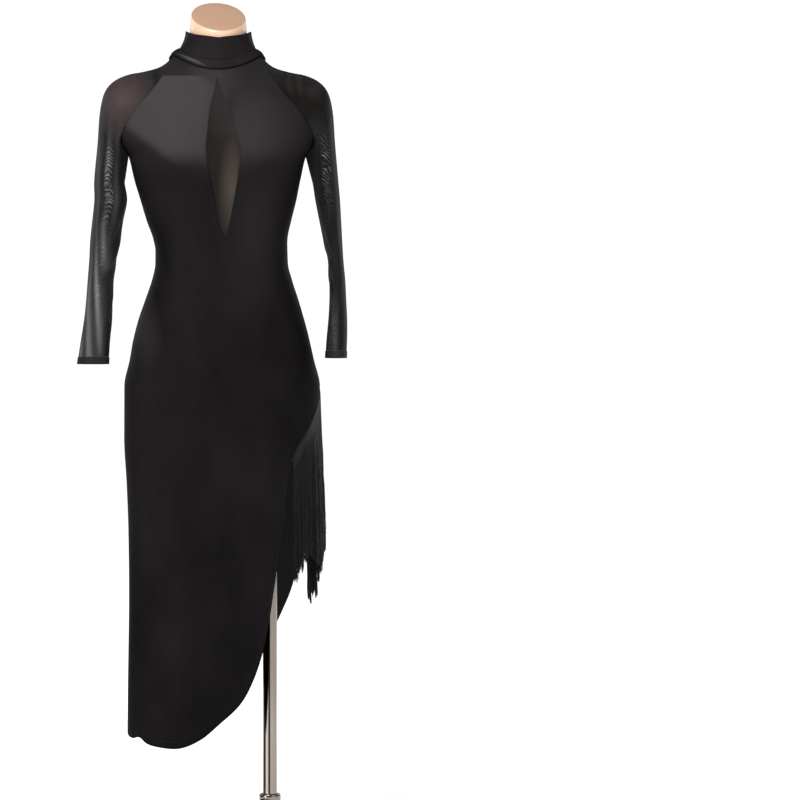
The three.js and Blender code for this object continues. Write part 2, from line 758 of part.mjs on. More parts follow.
// The neckline, once round from the centre back over the wearer's right, with a point just below each.
function neckline() {
  const columns = Array.from({ length: COLUMNS + 1 }, (_, i) => (2 * i) / COLUMNS - 1);
  const arc = (sign) => {
    const top = sleeveLoop(sign).slice(FRONT_ROWS.length, FRONT_ROWS.length + NECK_STEPS - 1);
    const step = new THREE.Vector3(sign * NECK_BELOW.out, 0, -NECK_BELOW.down);
    return top.map(({ point }) => ({ point, below: point.clone().add(step) }));
  };
  const edge = (panel, ts) => {
    const z = panel.rows.at(-1).z;
    const below = (t) => panelPoint(panel, t, z - NECK_BELOW.drop);
    return ts.map((t) => ({ point: panelPoint(panel, t, z), below: below(t) }));
  };
  const back = edge(BACK, columns);
  const middle = COLUMNS / 2;
  return [
    ...back.slice(0, middle + 1).reverse(),
    ...arc(-1).reverse(),
    ...edge(FRONT, columns),
    ...arc(1),
    ...back.slice(middle + 1).reverse(),
  ];
}

// Frames along the neckline: the way up the collar, out from it, and down the cloth below.
function neckFrames() {
  const stop = (_, i) => mix(-LAP.overlap, 1 + LAP.overlap, i / COLLAR.stations);
  const stops = Array.from({ length: COLLAR.stations + 1 }, stop);
  const loop = neckline();
  const curve = (key) => new THREE.CatmullRomCurve3(loop.map((entry) => entry[key]), true, "centripetal");
  const line = curve("point");
  const lower = curve("below");
  return stops.map((q) => {
    const u = ((q % 1) + 1) % 1;
    const raw = line.getUtoTmapping(u);
    const point = line.getPoint(raw);
    const angle = THREE.MathUtils.radToDeg(Math.atan2(point.x - NECK.centre, -point.y));
    const turn = THREE.MathUtils.degToRad(angle);
    const top = new THREE.Vector3(
      NECK.centre + COLLAR.half * Math.sin(turn),
      -COLLAR.deep * Math.cos(turn),
      rowAt(COLLAR_TOP, "angle", Math.abs(angle)).z,
    );
    const along = line.getTangent(raw);
    const down = between(point, lower.getPoint(raw)).normalize();
    const out = cross(along, down).normalize();
    if (out.dot(new THREE.Vector3(point.x, point.y, 0)) < 0) out.negate();
    return { q, point, top, along, down, out };
  });
}

function bandPoint(frame, h) {
  const reach = 1 - (1 - h) ** 2;
  return new THREE.Vector3(
    mix(frame.point.x, frame.top.x, reach),
    mix(frame.point.y, frame.top.y, reach),
    mix(frame.point.z + COLLAR.foot, frame.top.z, h),
  );
}
function bandNormal(frame, h) {
  const up = between(bandPoint(frame, Math.max(0, h - 0.05)), bandPoint(frame, Math.min(1, h + 0.05)));
  const out = cross(frame.along, up).normalize();
  if (out.dot(new THREE.Vector3(frame.point.x, frame.point.y, 0)) < 0) out.negate();
  return out;
}

// The collar's one end lies over the other at the centre back.
const lapAt = (q) => LAP.rise * ease((q - LAP.from) / (1 - LAP.overlap - LAP.from));

function collarBody() {
  const rings = neckFrames().map((frame) => {
    const by = lapAt(frame.q);
    const rise = (h, out) => bandPoint(frame, h).addScaledVector(bandNormal(frame, h), out + by);
    const outer = COLLAR_LEVELS.map((h) => rise(h, COLLAR.wall / 2));
    const inner = COLLAR_LEVELS.map((h) => rise(h, -COLLAR.wall / 2));
    return [...outer, ...inner.reverse()];
  });
  return bodyThrough(rings);
}

// The turned roll at the collar's foot: it lies on the band above and on the cloth below the neckline.
function foldBody() {
  const inReach = ({ q }) => q > FOLD.end && q < 1 - FOLD.end;
  const rings = neckFrames()
    .filter(inReach)
    .map((frame) => {
      const taper = ease(Math.min(frame.q - FOLD.end, 1 - FOLD.end - frame.q) / FOLD.taper);
      const thick = FOLD.thick * mix(FOLD.thin, 1, taper);
      const onBand = (h, out) =>
        bandPoint(frame, h).addScaledVector(
          bandNormal(frame, h),
          COLLAR.wall / 2 + CLEAR + lapAt(frame.q) + out,
        );
      const onCloth = (down, out) =>
        frame.point
          .clone()
          .addScaledVector(frame.down, down)
          .addScaledVector(frame.out, WALL / 2 + FOLD.clear + out);
      const high = COLLAR_LEVELS[1];
      return [
        onBand(high, thick * 0.5),
        onBand(high * 0.5, thick),
        onBand(0, thick).lerp(onCloth(0, thick), 0.5),
        onCloth(FOLD.down, thick * 0.45),
        onCloth(FOLD.down * 0.9, 0),
        onCloth(0, 0),
        onBand(0, 0),
        onBand(high, 0),
      ];
    });
  return bodyThrough(rings);
}

// A bead button: a low dome on a short foot, its axis along +Y
function buttonBody(radius) {
  const profile = [
    [0, 0],
    [radius * 0.55, 0],
    [radius * 0.6, radius * 0.25],
    [radius * 0.98, radius * 0.5],
    [radius * 0.95, radius * 0.85],
    [radius * 0.6, radius * 1.15],
    [0, radius * 1.25],
  ];
  return new THREE.LatheGeometry(profile.map(([out, up]) => new THREE.Vector2(out, up)), 12);
}

// Where a button sits on the collar's outer end or on the back panel, and the way it faces.
function buttonSeat({ x, z, onCollar }) {
  if (onCollar) {
    const ends = neckFrames().filter(({ q }) => q > 0.9);
    const frame = ends.reduce((best, one) =>
      Math.abs(one.point.x - x) < Math.abs(best.point.x - x) ? one : best,
    );
    const h = (z - frame.point.z - COLLAR.foot) / (frame.top.z - frame.point.z - COLLAR.foot);
    const facing = bandNormal(frame, h);
    const out = COLLAR.wall / 2 + lapAt(frame.q) + CLEAR;
    return { at: bandPoint(frame, h).addScaledVector(facing, out), facing };
  }
  const rowZ = z + rowAt(BACK.rows, "z", z + 20).dip;
  const t = columnAt(BACK, x, rowZ);
  const at = panelPoint(BACK, t, rowZ);
  const up = between(panelPoint(BACK, t, rowZ - 3), panelPoint(BACK, t, rowZ + 3));
  const across = between(panelPoint(BACK, t - 0.05, rowZ), panelPoint(BACK, t + 0.05, rowZ));
  const facing = cross(up, across).normalize();
  if (facing.y < 0) facing.negate();
  return { at: at.addScaledVector(facing, WALL / 2 + CLEAR), facing };
}

// A fringe: a strip beyond the cloth's edge, and threads that hang from it in two rows.
function fringeBody(panel, sheet, fringe) {
  const edge = sheet.points
    .slice(0, COLUMNS + 1)
    .map((point, i) => ({ point, normal: sheet.normals[i] }))
    .filter(({ point }) => point.x > 0);
  const frameAt = (z) => {
    const i = clamp(edge.findIndex(({ point }) => point.z >= z) - 1, 0, edge.length - 2);
    const [low, high] = [edge[i], edge[i + 1]];
    const f = (z - low.point.z) / (high.point.z - low.point.z);
    const along = between(low.point, high.point).normalize();
    const out = low.normal.clone().lerp(high.normal, clamp(f, 0, 1)).normalize();
    const beyond = cross(along, out).normalize();
    if (beyond.y * panel.side > 0) beyond.negate();
    return { point: low.point.clone().lerp(high.point, f), out, beyond };
  };
  const spot = ({ point, out, beyond }, across, up) =>
    point.clone().addScaledVector(beyond, across).addScaledVector(out, up);
  const half = FRINGE.thick / 2;
  const near = SEAM / 2;
  const inside = edge.map(({ point }) => point.z).filter((z) => z > fringe.from + 4 && z < fringe.to - 4);
  const stops = [fringe.from, ...inside, fringe.to];
  const strip = bodyThrough(
    stops.map((z) => {
      const frame = frameAt(z);
      return [
        spot(frame, near, half),
        spot(frame, near + FRINGE.wide, half),
        spot(frame, near + FRINGE.wide, -half),
        spot(frame, near, -half),
      ];
    }),
  );
  let body = solidOf(strip);
  for (let n = 0; n < fringe.threads; n++) {
    for (const row of [-1, 1]) {
      const z = mix(fringe.from, fringe.to, (n + 0.5 + row * THREAD.stagger) / fringe.threads);
      const up = THREAD.outer + row * THREAD.rowApart * 0.5;
      const root = spot(frameAt(z), near + FRINGE.wide * THREAD.root, up);
      const wave = Math.sin(n * 2.4 + row) * 0.5 + Math.sin(n * 0.9 + 1) * 0.5;
      const long = rowAt(fringe.lengths, "z", z).long + THREAD.ragged * wave;
      const spread = THREAD.spread * ease((z - fringe.from) / (fringe.to - fringe.from));
      body = body.add(solidOf(threadBody(root, long, n + row * 0.5, panel.side, spread)));
    }
  }
  return geometryOf(body);
}

function threadBody(root, long, n, side, spread) {
  const rings = [];
  for (let k = 0; k <= FRINGE.steps; k++) {
    const f = k / FRINGE.steps;
    const sway = THREAD.sway * f * Math.sin(1.3 + n * 0.12);
    const radius = THREAD.wide * 0.5 * mix(1, THREAD.tip, f);
    const turn = side * 0.4;
    rings.push(
      [0, 120, 240].map((angle) => {
        const a = THREE.MathUtils.degToRad(angle) + turn;
        return new THREE.Vector3(
          root.x + spread * Math.min(1, 2 * f) + sway * 0.4 + radius * Math.cos(a),
          root.y + sway + radius * Math.sin(a),
          root.z - long * f,
        );
      }),
    );
  }
  return bodyThrough(rings);
}

// Dress form
function formRing(row, z, bust) {
  const ring = [];
  for (const [side, depth] of [[-1, row.front], [1, row.back]]) {
    for (let i = 0; i < COLUMNS; i++) {
      const t = side * (1 - (2 * i) / COLUMNS);
      const s = Math.sin((Math.PI * t) / 2);
      const round = Math.max(0, 1 - Math.abs(s) ** row.power) ** (1 / row.power);
      const x = row.centre + row.half * s;
      const rise = side < 0 ? bust * bustRise(x - row.centre, z) * Math.sqrt(round) : 0;
      ring.push(new THREE.Vector3(x, side * (depth * round + rise), z));
    }
  }
  return ring;
}

function formBody() {
  const rings = [];
  const eased = (row, by) => ({ ...row, half: row.half - by, front: row.front - by, back: row.back - by });
  for (const z of [FORM.bottom, ...FORM_ROWS]) {
    const edge = z === FORM.bottom ? FORM.edge : 0;
    rings.push(formRing(eased(rowAt(TORSO, "z", z), rowAt(FORM_EASE, "z", z).by + edge), z, 1));
  }
  for (const row of FORM_TOP) rings.push(formRing(row, row.z, bell(row.z - ARMPIT_Z, 60)));
  const neck = { centre: NECK.centre, half: NECK.half, front: NECK.deep, back: NECK.deep, power: 2 };
  const slanted = (scale, lift) =>
    formRing(neck, 0, 0).map((p) => {
      const x = NECK.centre + (p.x - NECK.centre) * scale;
      const y = p.y * scale;
      return new THREE.Vector3(x, y, FORM.capZ + lift + y * FORM.capTilt + x * FORM.capRoll);
    });
  rings.push(slanted(1, -4), slanted(0.94, 0));
  return bodyThrough(rings);
}

const sheets = {
  front_panel: panelSheet(FRONT, FRONT_ROWS, frontKeyhole),
  back_panel: panelSheet(BACK, BACK_ROWS, (z) => backKeyhole(z, BINDING.wide + SEAM)),
  sleeve_right: sleeveSheet(RIGHT_ARM, -1),
  sleeve_left: sleeveSheet(LEFT_ARM, 1),
  front_keyhole_net: insetSheet(),
};
sewTogether(Object.values(sheets));
const NET = ["sleeve_right", "sleeve_left", "front_keyhole_net"];
for (const [name, sheet] of Object.entries(sheets)) {
  drawIn(sheet, SEAM * 0.6);
  add(name, thicken(sheet, WALL), NET.includes(name) ? "net" : "velvet");
}

// What lies on the sheets
const keyholeEdge = (() => {
  const sheet = sheets.back_panel;
  const edge = boundaryOf(sheet.triangles);
  const next = new Map(edge);
  const inside = (i) => {
    const { x, z } = sheet.points[i];
    const around = BINDING.wide + COLUMNS;
    const level = z > BACK_KEYHOLE.bottom - around && z < BACK_KEYHOLE.top + around;
    return Math.abs(x) < BACK_KEYHOLE.half + around && level;
  };
  const start = edge.find(([from]) => inside(from))[0];
  const loop = [start];
  while (next.get(loop.at(-1)) !== start) loop.push(next.get(loop.at(-1)));
  return loop.map((i) => ({ point: sheet.points[i], normal: sheet.normals[i] }));
})();
add("keyhole_binding", bindingBody(keyholeEdge), "band");
add("cuff_right", cuffBody(RIGHT_ARM, -1), "band");
add("cuff_left", cuffBody(LEFT_ARM, 1), "band");
add("collar_band", collarBody(), "velvet");
add("collar_fold", foldBody(), "velvet");
add("fringe_front", fringeBody(FRONT, sheets.front_panel, FRINGE_FRONT), "fringe");
add("fringe_back", fringeBody(BACK, sheets.back_panel, FRINGE_BACK), "fringe");

for (const button of BUTTONS) {
  const mesh = add(button.name, buttonBody(button.radius), "bead");
  const { at, facing } = buttonSeat(button);
  mesh.position.copy(at);
  mesh.quaternion.setFromUnitVectors(new THREE.Vector3(0, 1, 0), facing);
}

// The form and its stand
add("dress_form", formBody(), "form");
const socketTop = FORM.bottom - SEAM;
const bore = POLE.radius + SEAM;
const foot = BASE.thick + SEAM;
const socket = lathe(
  POLE.sides,
  [bore, socketTop - SOCKET.tall],
  [SOCKET.radius, socketTop - SOCKET.tall],
  [SOCKET.radius, socketTop],
  [bore, socketTop],
  [bore, socketTop - SOCKET.tall],
);
const pole = lathe(POLE.sides, [0, foot], [POLE.radius, foot], [POLE.radius, socketTop], [0, socketTop]);
const ferrule = lathe(
  POLE.sides,
  [bore, foot],
  [FERRULE.radius, foot],
  [FERRULE.radius, FERRULE.top - FERRULE.edge],
  [FERRULE.radius - FERRULE.edge, FERRULE.top],
  [bore, FERRULE.top],
  [bore, foot],
);
const plate = lathe(
  BASE.sides,
  [0, 0],
  [BASE.radius, 0],
  [BASE.radius, BASE.thick - BASE.edge],
  [BASE.radius - BASE.edge, BASE.thick],
  [0, BASE.thick],
);
add("pole_socket", socket, "chrome").position.x = POLE.x;
add("pole", pole, "chrome").position.x = POLE.x;
add("pole_ferrule", ferrule, "chrome").position.x = POLE.x;
add("base_plate", plate, "chrome");

export default dress;
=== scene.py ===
"""The looks of a ballroom dance dress on a limbless dress form and its floor stand.

The tables repeat the solids' own, in millimetres, +Z up, the front at -Y and the wearer's left at +X.
Meshes are made in millimetres and written in metres.
"""
import json
import math
import random

import bmesh
import bpy
from mathutils import Vector
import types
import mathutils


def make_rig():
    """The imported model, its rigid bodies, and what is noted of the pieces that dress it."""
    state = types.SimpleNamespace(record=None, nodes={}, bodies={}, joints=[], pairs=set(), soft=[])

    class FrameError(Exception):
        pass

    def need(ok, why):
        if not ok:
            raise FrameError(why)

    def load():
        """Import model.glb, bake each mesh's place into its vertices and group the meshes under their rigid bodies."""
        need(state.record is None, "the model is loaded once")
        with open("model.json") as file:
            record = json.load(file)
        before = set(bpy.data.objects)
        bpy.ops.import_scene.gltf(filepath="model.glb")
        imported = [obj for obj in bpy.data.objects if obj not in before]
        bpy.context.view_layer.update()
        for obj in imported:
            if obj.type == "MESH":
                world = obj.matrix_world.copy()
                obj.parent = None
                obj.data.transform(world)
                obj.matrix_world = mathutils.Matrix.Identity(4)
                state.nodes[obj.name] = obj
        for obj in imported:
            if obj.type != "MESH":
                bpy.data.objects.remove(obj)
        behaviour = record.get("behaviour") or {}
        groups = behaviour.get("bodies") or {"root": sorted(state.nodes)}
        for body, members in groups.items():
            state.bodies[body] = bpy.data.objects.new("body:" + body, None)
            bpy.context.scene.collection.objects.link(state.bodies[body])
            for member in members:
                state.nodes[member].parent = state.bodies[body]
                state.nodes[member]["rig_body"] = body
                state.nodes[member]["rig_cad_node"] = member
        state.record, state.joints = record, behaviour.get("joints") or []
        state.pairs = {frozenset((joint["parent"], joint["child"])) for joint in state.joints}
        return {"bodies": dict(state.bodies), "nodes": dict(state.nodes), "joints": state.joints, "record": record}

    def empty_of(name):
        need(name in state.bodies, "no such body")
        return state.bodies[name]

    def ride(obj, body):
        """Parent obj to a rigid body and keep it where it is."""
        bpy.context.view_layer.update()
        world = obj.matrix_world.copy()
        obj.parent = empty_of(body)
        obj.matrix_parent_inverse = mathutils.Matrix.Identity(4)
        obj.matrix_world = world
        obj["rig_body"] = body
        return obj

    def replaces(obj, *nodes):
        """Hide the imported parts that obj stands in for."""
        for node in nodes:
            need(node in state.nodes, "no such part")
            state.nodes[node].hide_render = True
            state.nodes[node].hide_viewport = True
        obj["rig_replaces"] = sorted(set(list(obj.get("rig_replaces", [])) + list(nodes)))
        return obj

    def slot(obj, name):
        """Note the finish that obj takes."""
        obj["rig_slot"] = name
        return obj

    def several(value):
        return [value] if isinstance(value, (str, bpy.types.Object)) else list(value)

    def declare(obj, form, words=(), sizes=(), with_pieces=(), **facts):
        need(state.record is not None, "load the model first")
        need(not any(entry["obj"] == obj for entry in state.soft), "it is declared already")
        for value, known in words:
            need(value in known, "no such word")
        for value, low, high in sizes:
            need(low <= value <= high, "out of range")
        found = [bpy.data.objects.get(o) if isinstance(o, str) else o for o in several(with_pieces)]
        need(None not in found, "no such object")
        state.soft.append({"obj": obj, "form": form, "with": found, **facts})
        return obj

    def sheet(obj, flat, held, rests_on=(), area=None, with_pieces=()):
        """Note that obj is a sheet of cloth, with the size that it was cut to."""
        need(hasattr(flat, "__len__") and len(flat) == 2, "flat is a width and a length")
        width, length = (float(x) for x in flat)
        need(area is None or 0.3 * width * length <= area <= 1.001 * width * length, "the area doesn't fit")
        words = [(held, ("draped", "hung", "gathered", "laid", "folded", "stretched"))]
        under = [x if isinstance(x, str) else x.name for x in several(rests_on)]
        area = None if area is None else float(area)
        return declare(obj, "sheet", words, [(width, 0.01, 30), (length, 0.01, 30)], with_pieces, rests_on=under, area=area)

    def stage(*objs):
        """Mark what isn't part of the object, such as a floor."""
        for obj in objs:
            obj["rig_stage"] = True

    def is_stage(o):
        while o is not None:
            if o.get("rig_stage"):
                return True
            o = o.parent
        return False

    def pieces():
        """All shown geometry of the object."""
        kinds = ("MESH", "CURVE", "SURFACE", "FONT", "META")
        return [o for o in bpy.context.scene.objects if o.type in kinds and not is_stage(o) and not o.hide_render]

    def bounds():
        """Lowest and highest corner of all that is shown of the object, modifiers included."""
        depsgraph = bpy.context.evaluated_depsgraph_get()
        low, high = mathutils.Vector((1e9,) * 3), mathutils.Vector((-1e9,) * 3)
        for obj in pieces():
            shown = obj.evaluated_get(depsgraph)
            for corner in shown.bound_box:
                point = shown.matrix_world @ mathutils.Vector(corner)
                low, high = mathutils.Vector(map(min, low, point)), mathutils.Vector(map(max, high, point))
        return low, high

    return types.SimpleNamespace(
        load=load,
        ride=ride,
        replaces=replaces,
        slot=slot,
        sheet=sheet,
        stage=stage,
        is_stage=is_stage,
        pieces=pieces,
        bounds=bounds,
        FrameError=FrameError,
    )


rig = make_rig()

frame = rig.load()
cad_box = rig.bounds()
random.seed(11)

# Sizes and tables, in millimetres and degrees
WALL = 1.5
CLOTH_WALL = 1.3
SEAM = 0.3
CLEAR = 0.4
ARMPIT_Z = 1240
SKIRT_TOP_Z = 900
SLIT_TOP_Z = 833
SIDE_HEM_Z = 223
COLUMNS = 132
HALF_COLUMNS = COLUMNS // 2
SKIRT_ROWS = 104
ROW_STEP = 4.5
LOOP_COLUMNS = 18

BUST = {"apart": 78, "z": 1238, "rise": 26, "wide": 40, "above": 46, "below": 34}
COLLAR = {"wall": 2, "half": 57.5, "deep": 56, "foot": 0.5, "stations": 260}
LAP = {"overlap": 0.035, "from": 0.86, "rise": 2.6}
FOLD = {"down": 5, "thick": 3.8, "end": 0.05, "clear": 1.8, "taper": 0.07, "thin": 0.35, "up": 0.22}
BINDING = {"wide": 5, "thick": 2.6}
CUFF = {"tall": 13, "wall": 1.9}
FRINGE = {"wide": 7, "thick": 3}
FORM = {"bottom": 712, "cap_tilt": 0.6, "cap_roll": -0.07, "cap_z": 1487}
POLE = {"x": 90, "radius": 12.5}
FERRULE = {"radius": 19, "top": 113}
SOCKET = {"radius": 30, "tall": 22}
BASE = {"radius": 175, "thick": 9}
NECK = {"centre": -1, "half": 48.5, "deep": 51}
STITCH = {"pitch": 3.2, "long": 2.2, "wide": 0.55, "lift": 0.9, "sink": 0.35}
THREAD_STEPS = 9
THREADS_IN_CLUMP = 6.5
SHORT_THREADS = 0.12
FORM_COLUMNS = 96
SLEEVE_VALUES = ("level", "band", "around")
METRES_PER_DEGREE = 0.00056
LINE_PITCH = 0.0076
NOISE_ROUGHNESS = 0.55


def table(names, *rows):
    return [dict(zip(names, row)) for row in rows]


TORSO = table(
    ("z", "centre", "half", "front", "back", "power"),
    (190, -2, 159, 82, 88, 2.2),
    (300, -1.5, 158.5, 84, 90, 2.2),
    (448, -1, 157, 90, 98, 2.2),
    (575, 1, 160, 95, 106, 2.2),
    (660, 3, 165, 98, 112, 2.25),
    (745, 5, 171.5, 101, 117, 2.3),
    (833, 5.8, 172, 101, 118, 2.3),
    (880, 5.3, 162, 98, 113, 2.3),
    (915, 4.4, 155, 94, 108, 2.3),
    (950, 4.4, 146, 91, 102, 2.3),
    (986, 5.3, 134.5, 88, 95, 2.3),
    (1021, 5.6, 123, 86, 87, 2.25),
    (1050, 4.8, 116.5, 84, 82, 2.2),
    (1074, 4.4, 116, 83, 80, 2.2),
    (1092, 2.7, 117.7, 84, 80, 2.2),
    (1127, 0, 127.4, 87, 82, 2.2),
    (1163, -0.9, 137.2, 90, 85, 2.2),
    (1198, -2.7, 146, 91, 88, 2.2),
    (1240, -3, 156, 92, 91, 2.2),
)
YOKE_COLUMNS = ("z", "half", "seam", "middle", "dip", "across", "depth", "even")
FRONT_YOKE = table(
    YOKE_COLUMNS,
    (1256, 165, 22, 92.5, 0, 2.2, 1.9, 0.2),
    (1270, 168, 38, 93, 1, 2.2, 1.5, 0.5),
    (1286, 161, 52, 92, 2, 2.2, 1.25, 0.7),
    (1302, 152, 61, 91, 3, 2.3, 1.1, 0.8),
    (1320, 140, 68, 88, 5, 2.4, 1, 0.9),
    (1338, 122, 72, 84, 8, 2.4, 1, 1),
    (1357, 107.5, 69, 79, 11, 2.4, 1, 1),
    (1375, 95.5, 63, 73, 14.5, 2.3, 1, 1),
    (1396, 84, 52, 67, 19, 2.2, 1, 1),
    (1415, 73, 38, 60, 23.5, 2.1, 1, 1),
)
BACK_YOKE = table(
    YOKE_COLUMNS,
    (1256, 166.5, 24, 92, 0, 2.2, 1.9, 0.2),
    (1270, 173, 40, 93, 1, 2.2, 1.5, 0.5),
    (1286, 167, 51, 93, 2.5, 2.2, 1.25, 0.7),
    (1302, 158.5, 60.5, 92, 4.5, 2.3, 1.1, 0.8),
    (1320, 151.5, 70, 90, 7, 2.4, 1, 0.9),
    (1337, 140, 72, 86, 10, 2.4, 1, 1),
    (1353, 124, 69, 81, 13.5, 2.4, 1, 1),
    (1370, 109, 62, 75, 17, 2.3, 1, 1),
    (1388, 93, 52, 68, 19, 2.2, 1, 1),
    (1408, 77, 39, 60, 24, 2.1, 1, 1),
)
FRONT_HEM = [
    (-161, SIDE_HEM_Z), (-151, 215.5), (-139, 218), (-127, 208.5), (-112, 204), (-69, 201), (-33, 216), (1, 244),
    (37, 278), (60, 320), (80, 384), (95.5, 476), (111, 589), (127, 703), (160, 768), (178, SLIT_TOP_Z),
]
BACK_HEM = [
    (-161, SIDE_HEM_Z), (-136, 238), (-71, 267), (14, 310), (76, 365), (113, 432), (134, 490),
    (146, 570), (151, 655), (156, 697), (166, 761), (178, SLIT_TOP_Z),
]
SKIRT_FOLDS = table(
    ("side", "x", "lean", "wide", "depth", "from", "to"),
    (-1, -138, 0.02, 9, -5, 190, 330),
    (-1, -112, 0.05, 22, 5, 190, 480),
    (-1, -20, 0.16, 34, 6, 190, 620),
    (-1, 60, 0.1, 26, 5, 300, 700),
    (1, -120, 0.03, 26, 5, 190, 470),
    (1, -30, 0.12, 36, 6, 190, 620),
    (1, 70, 0.12, 30, 5, 300, 700),
)
FRONT_KEYHOLE = table(
    ("z", "centre", "half"),
    (1092, 12.4, 0),
    (1113, 9, 8.5),
    (1161, 9.5, 17),
    (1212, 8.3, 26.5),
    (1242, 7, 29.5),
    (1280, 4.5, 24),
    (1315, 2, 17.6),
    (1333, 0, 12),
    (1349, -1.5, 6),
    (1374.9, -2.6, 0),
)
BACK_KEYHOLE = {"top": 1363.6, "bottom": 1081, "half": 80, "skew": 1.233}
BETWEEN_TIPS_Z = 1200
# The sleeve's rows over the shoulder: shares of the way out and of the way down from the seam to the arm
SHOULDER = [(0.18, 0.092), (0.4, 0.134), (0.6, 0.158), (0.77, 0.206), (0.86, 0.27), (0.92, 0.406), (0.955, 0.68)]
SHOULDER_SLOPE = 0.6
LOW_TURN = 1.4
SEAM_SWEEP = 144
SEAM_POWER = 0.62
SEAM_STEPS = 5
PIT_COLUMNS = 4
NECK_STEPS = 4
NECK_BULGE = 4
NECK_BELOW = {"out": 6, "down": 3.6, "drop": 7}
ARM_COLUMNS = ("z", "x", "half", "y", "girth")
RIGHT_ARM = table(
    ARM_COLUMNS,
    (872, -221, 27.4, -20, 186),
    (880, -220.4, 27.2, -19, 188),
    (915, -216.8, 25.7, -15, 196),
    (950, -212.4, 24.8, -11, 204),
    (986, -209.7, 23.9, -8, 212),
    (1021, -208, 23, -6, 222),
    (1057, -203.5, 24.8, -4, 230),
    (1092, -200, 26.6, -3, 238),
    (1127, -195.6, 27.4, -2, 246),
    (1163, -190.5, 29, -1, 254),
    (1192, -193, 27, 0, 258),
)
LEFT_ARM = table(
    ARM_COLUMNS,
    (883, 206.2, 18.6, -20, 186),
    (891, 206.4, 18.6, -19, 188),
    (920, 208, 18.2, -15, 196),
    (950, 209.6, 16.8, -11, 204),
    (986, 209.8, 15, -8, 212),
    (1021, 208.9, 14.2, -6, 222),
    (1057, 206, 13.8, -4, 230),
    (1092, 201, 16.8, -3, 238),
    (1127, 196.5, 19.5, -2, 246),
    (1163, 192, 22, -1, 254),
    (1192, 188.5, 23, 0, 260),
)
FORM_TOP = table(
    ("z", "centre", "half", "front", "back", "power"),
    (1262, -3, 150, 89, 88, 2.3),
    (1290, -3, 153, 87, 88, 2.3),
    (1310, -3, 172, 84, 86, 2.2),
    (1328, -3, 188, 80, 82, 2.2),
    (1345, -3, 192, 74, 77, 2.1),
    (1358, -3, 187, 67, 71, 2),
    (1368, -3, 173, 61, 64, 2),
    (1376, -3, 146, 57, 56, 1.9),
    (1384, -2, 113, 55, 53, 1.9),
    (1392, -2, 90, 54, 52, 1.9),
    (1401, -2, 76, 53, 51, 2),
    (1412, -1, 65, 52.5, 50.5, 2),
    (1426, -1, 56, 52, 50, 2),
    (1442, -1, 51, 51.5, 50, 2),
)
FORM_EASE = table(
    ("z", "by"),
    (712, 11), (790, 7), (833, 4.2), (900, 3.2), (1014, 2.4), (1050, 1.4), (1074, 3), (1092, 3), (1240, 2.6),
)
# The form's rounded lower edge (height, how much narrower) and its sloping neck cap (scale, lift)
FORM_EDGE = [(712, 7), (712.8, 4.4), (714.4, 2.2), (717, 0.7), (720, 0)]
FORM_CAP = [(1, -4), (0.995, -2), (0.975, -0.6), (0.94, 0), (0.6, 0.5), (0.25, 0.6), (0.02, 0.6)]
COLLAR_TOP = table(("angle", "z"), (0, 1444), (45, 1451), (90, 1460), (138, 1459), (160, 1444), (180, 1428))
FRINGE_FRONT = {
    "side": -1, "from": 703, "to": 826, "threads": 150, "lean": 0,
    "lengths": table(("z", "long"), (703, 210), (735, 213), (748, 204), (765, 228), (800, 262), (826, 278)),
}
FRINGE_BACK = {
    "side": 1, "from": 625, "to": 826, "threads": 190, "lean": 9,
    "lengths": table(("z", "long"), (625, 166), (655, 196), (760, 268), (826, 246)),
}
BUTTONS = [
    ("button_top", 3, 1415, 4.5, True),
    ("button_middle", 1, 1394, 4.5, True),
    ("button_keyhole", 6, 1377, 3.2, False),
]
# A button's profile in radii: how far out and how high above the cloth
BEAD = [
    (0, 0), (0.5, 0.02), (0.58, 0.1), (0.62, 0.26), (0.86, 0.36), (0.97, 0.5), (0.99, 0.66), (0.93, 0.84),
    (0.78, 1.02), (0.55, 1.15), (0.28, 1.23), (0, 1.25),
]

# Creases as soft lines across a panel: ends (x, z, x, z), half-width and depth
FRONT_CREASES = [
    (-156, 1306, -104, 1246, 9, 3.0),
    (-146, 1268, -112, 1240, 7, -2.2),
    (150, 1300, 108, 1250, 9, 2.2),
    (146, 1262, 118, 1236, 7, -1.8),
    (-84, 1204, -60, 1150, 12, -1.6),
    (88, 1206, 58, 1146, 12, -1.6),
    (-104, 1112, -40, 1082, 10, -1.5),
    (104, 1108, 46, 1078, 9, 1.3),
    (-112, 1062, -56, 1040, 9, 1.4),
    (110, 1058, 62, 1032, 9, -1.2),
    (-126, 990, -70, 946, 13, 1.8),
    (-138, 958, -96, 890, 12, -1.8),
    (132, 986, 76, 930, 13, 1.5),
    (-148, 900, -142, 780, 8, 2.2),
    (-130, 860, -128, 720, 10, -1.6),
    (150, 868, 118, 800, 10, 2.0),
    (120, 840, 60, 770, 14, 1.4),
    (-152, 690, -146, 520, 7, 1.8),
    (-134, 360, -128, 240, 5, 2.6),
    (-146, 330, -140, 250, 4, -2.0),
    (30, 700, 46, 420, 16, 1.6),
]
BACK_CREASES = [
    (-108, 1110, -44, 1076, 10, 1.4),
    (104, 1106, 40, 1072, 10, -1.3),
    (-70, 1050, -86, 930, 13, 2.0),
    (48, 1066, 76, 930, 13, 1.8),
    (-120, 1010, -70, 960, 10, -1.5),
    (118, 1004, 72, 950, 10, 1.4),
    (-150, 880, -140, 740, 9, 1.8),
    (140, 800, 90, 700, 12, 1.6),
    (-20, 820, -8, 520, 18, 1.6),
    (-150, 1290, -108, 1240, 9, 2.0),
    (150, 1290, 110, 1236, 9, 2.0),
    (60, 1372, 34, 1354, 6, 1.2),
    (-58, 1370, -30, 1352, 6, 1.2),
]
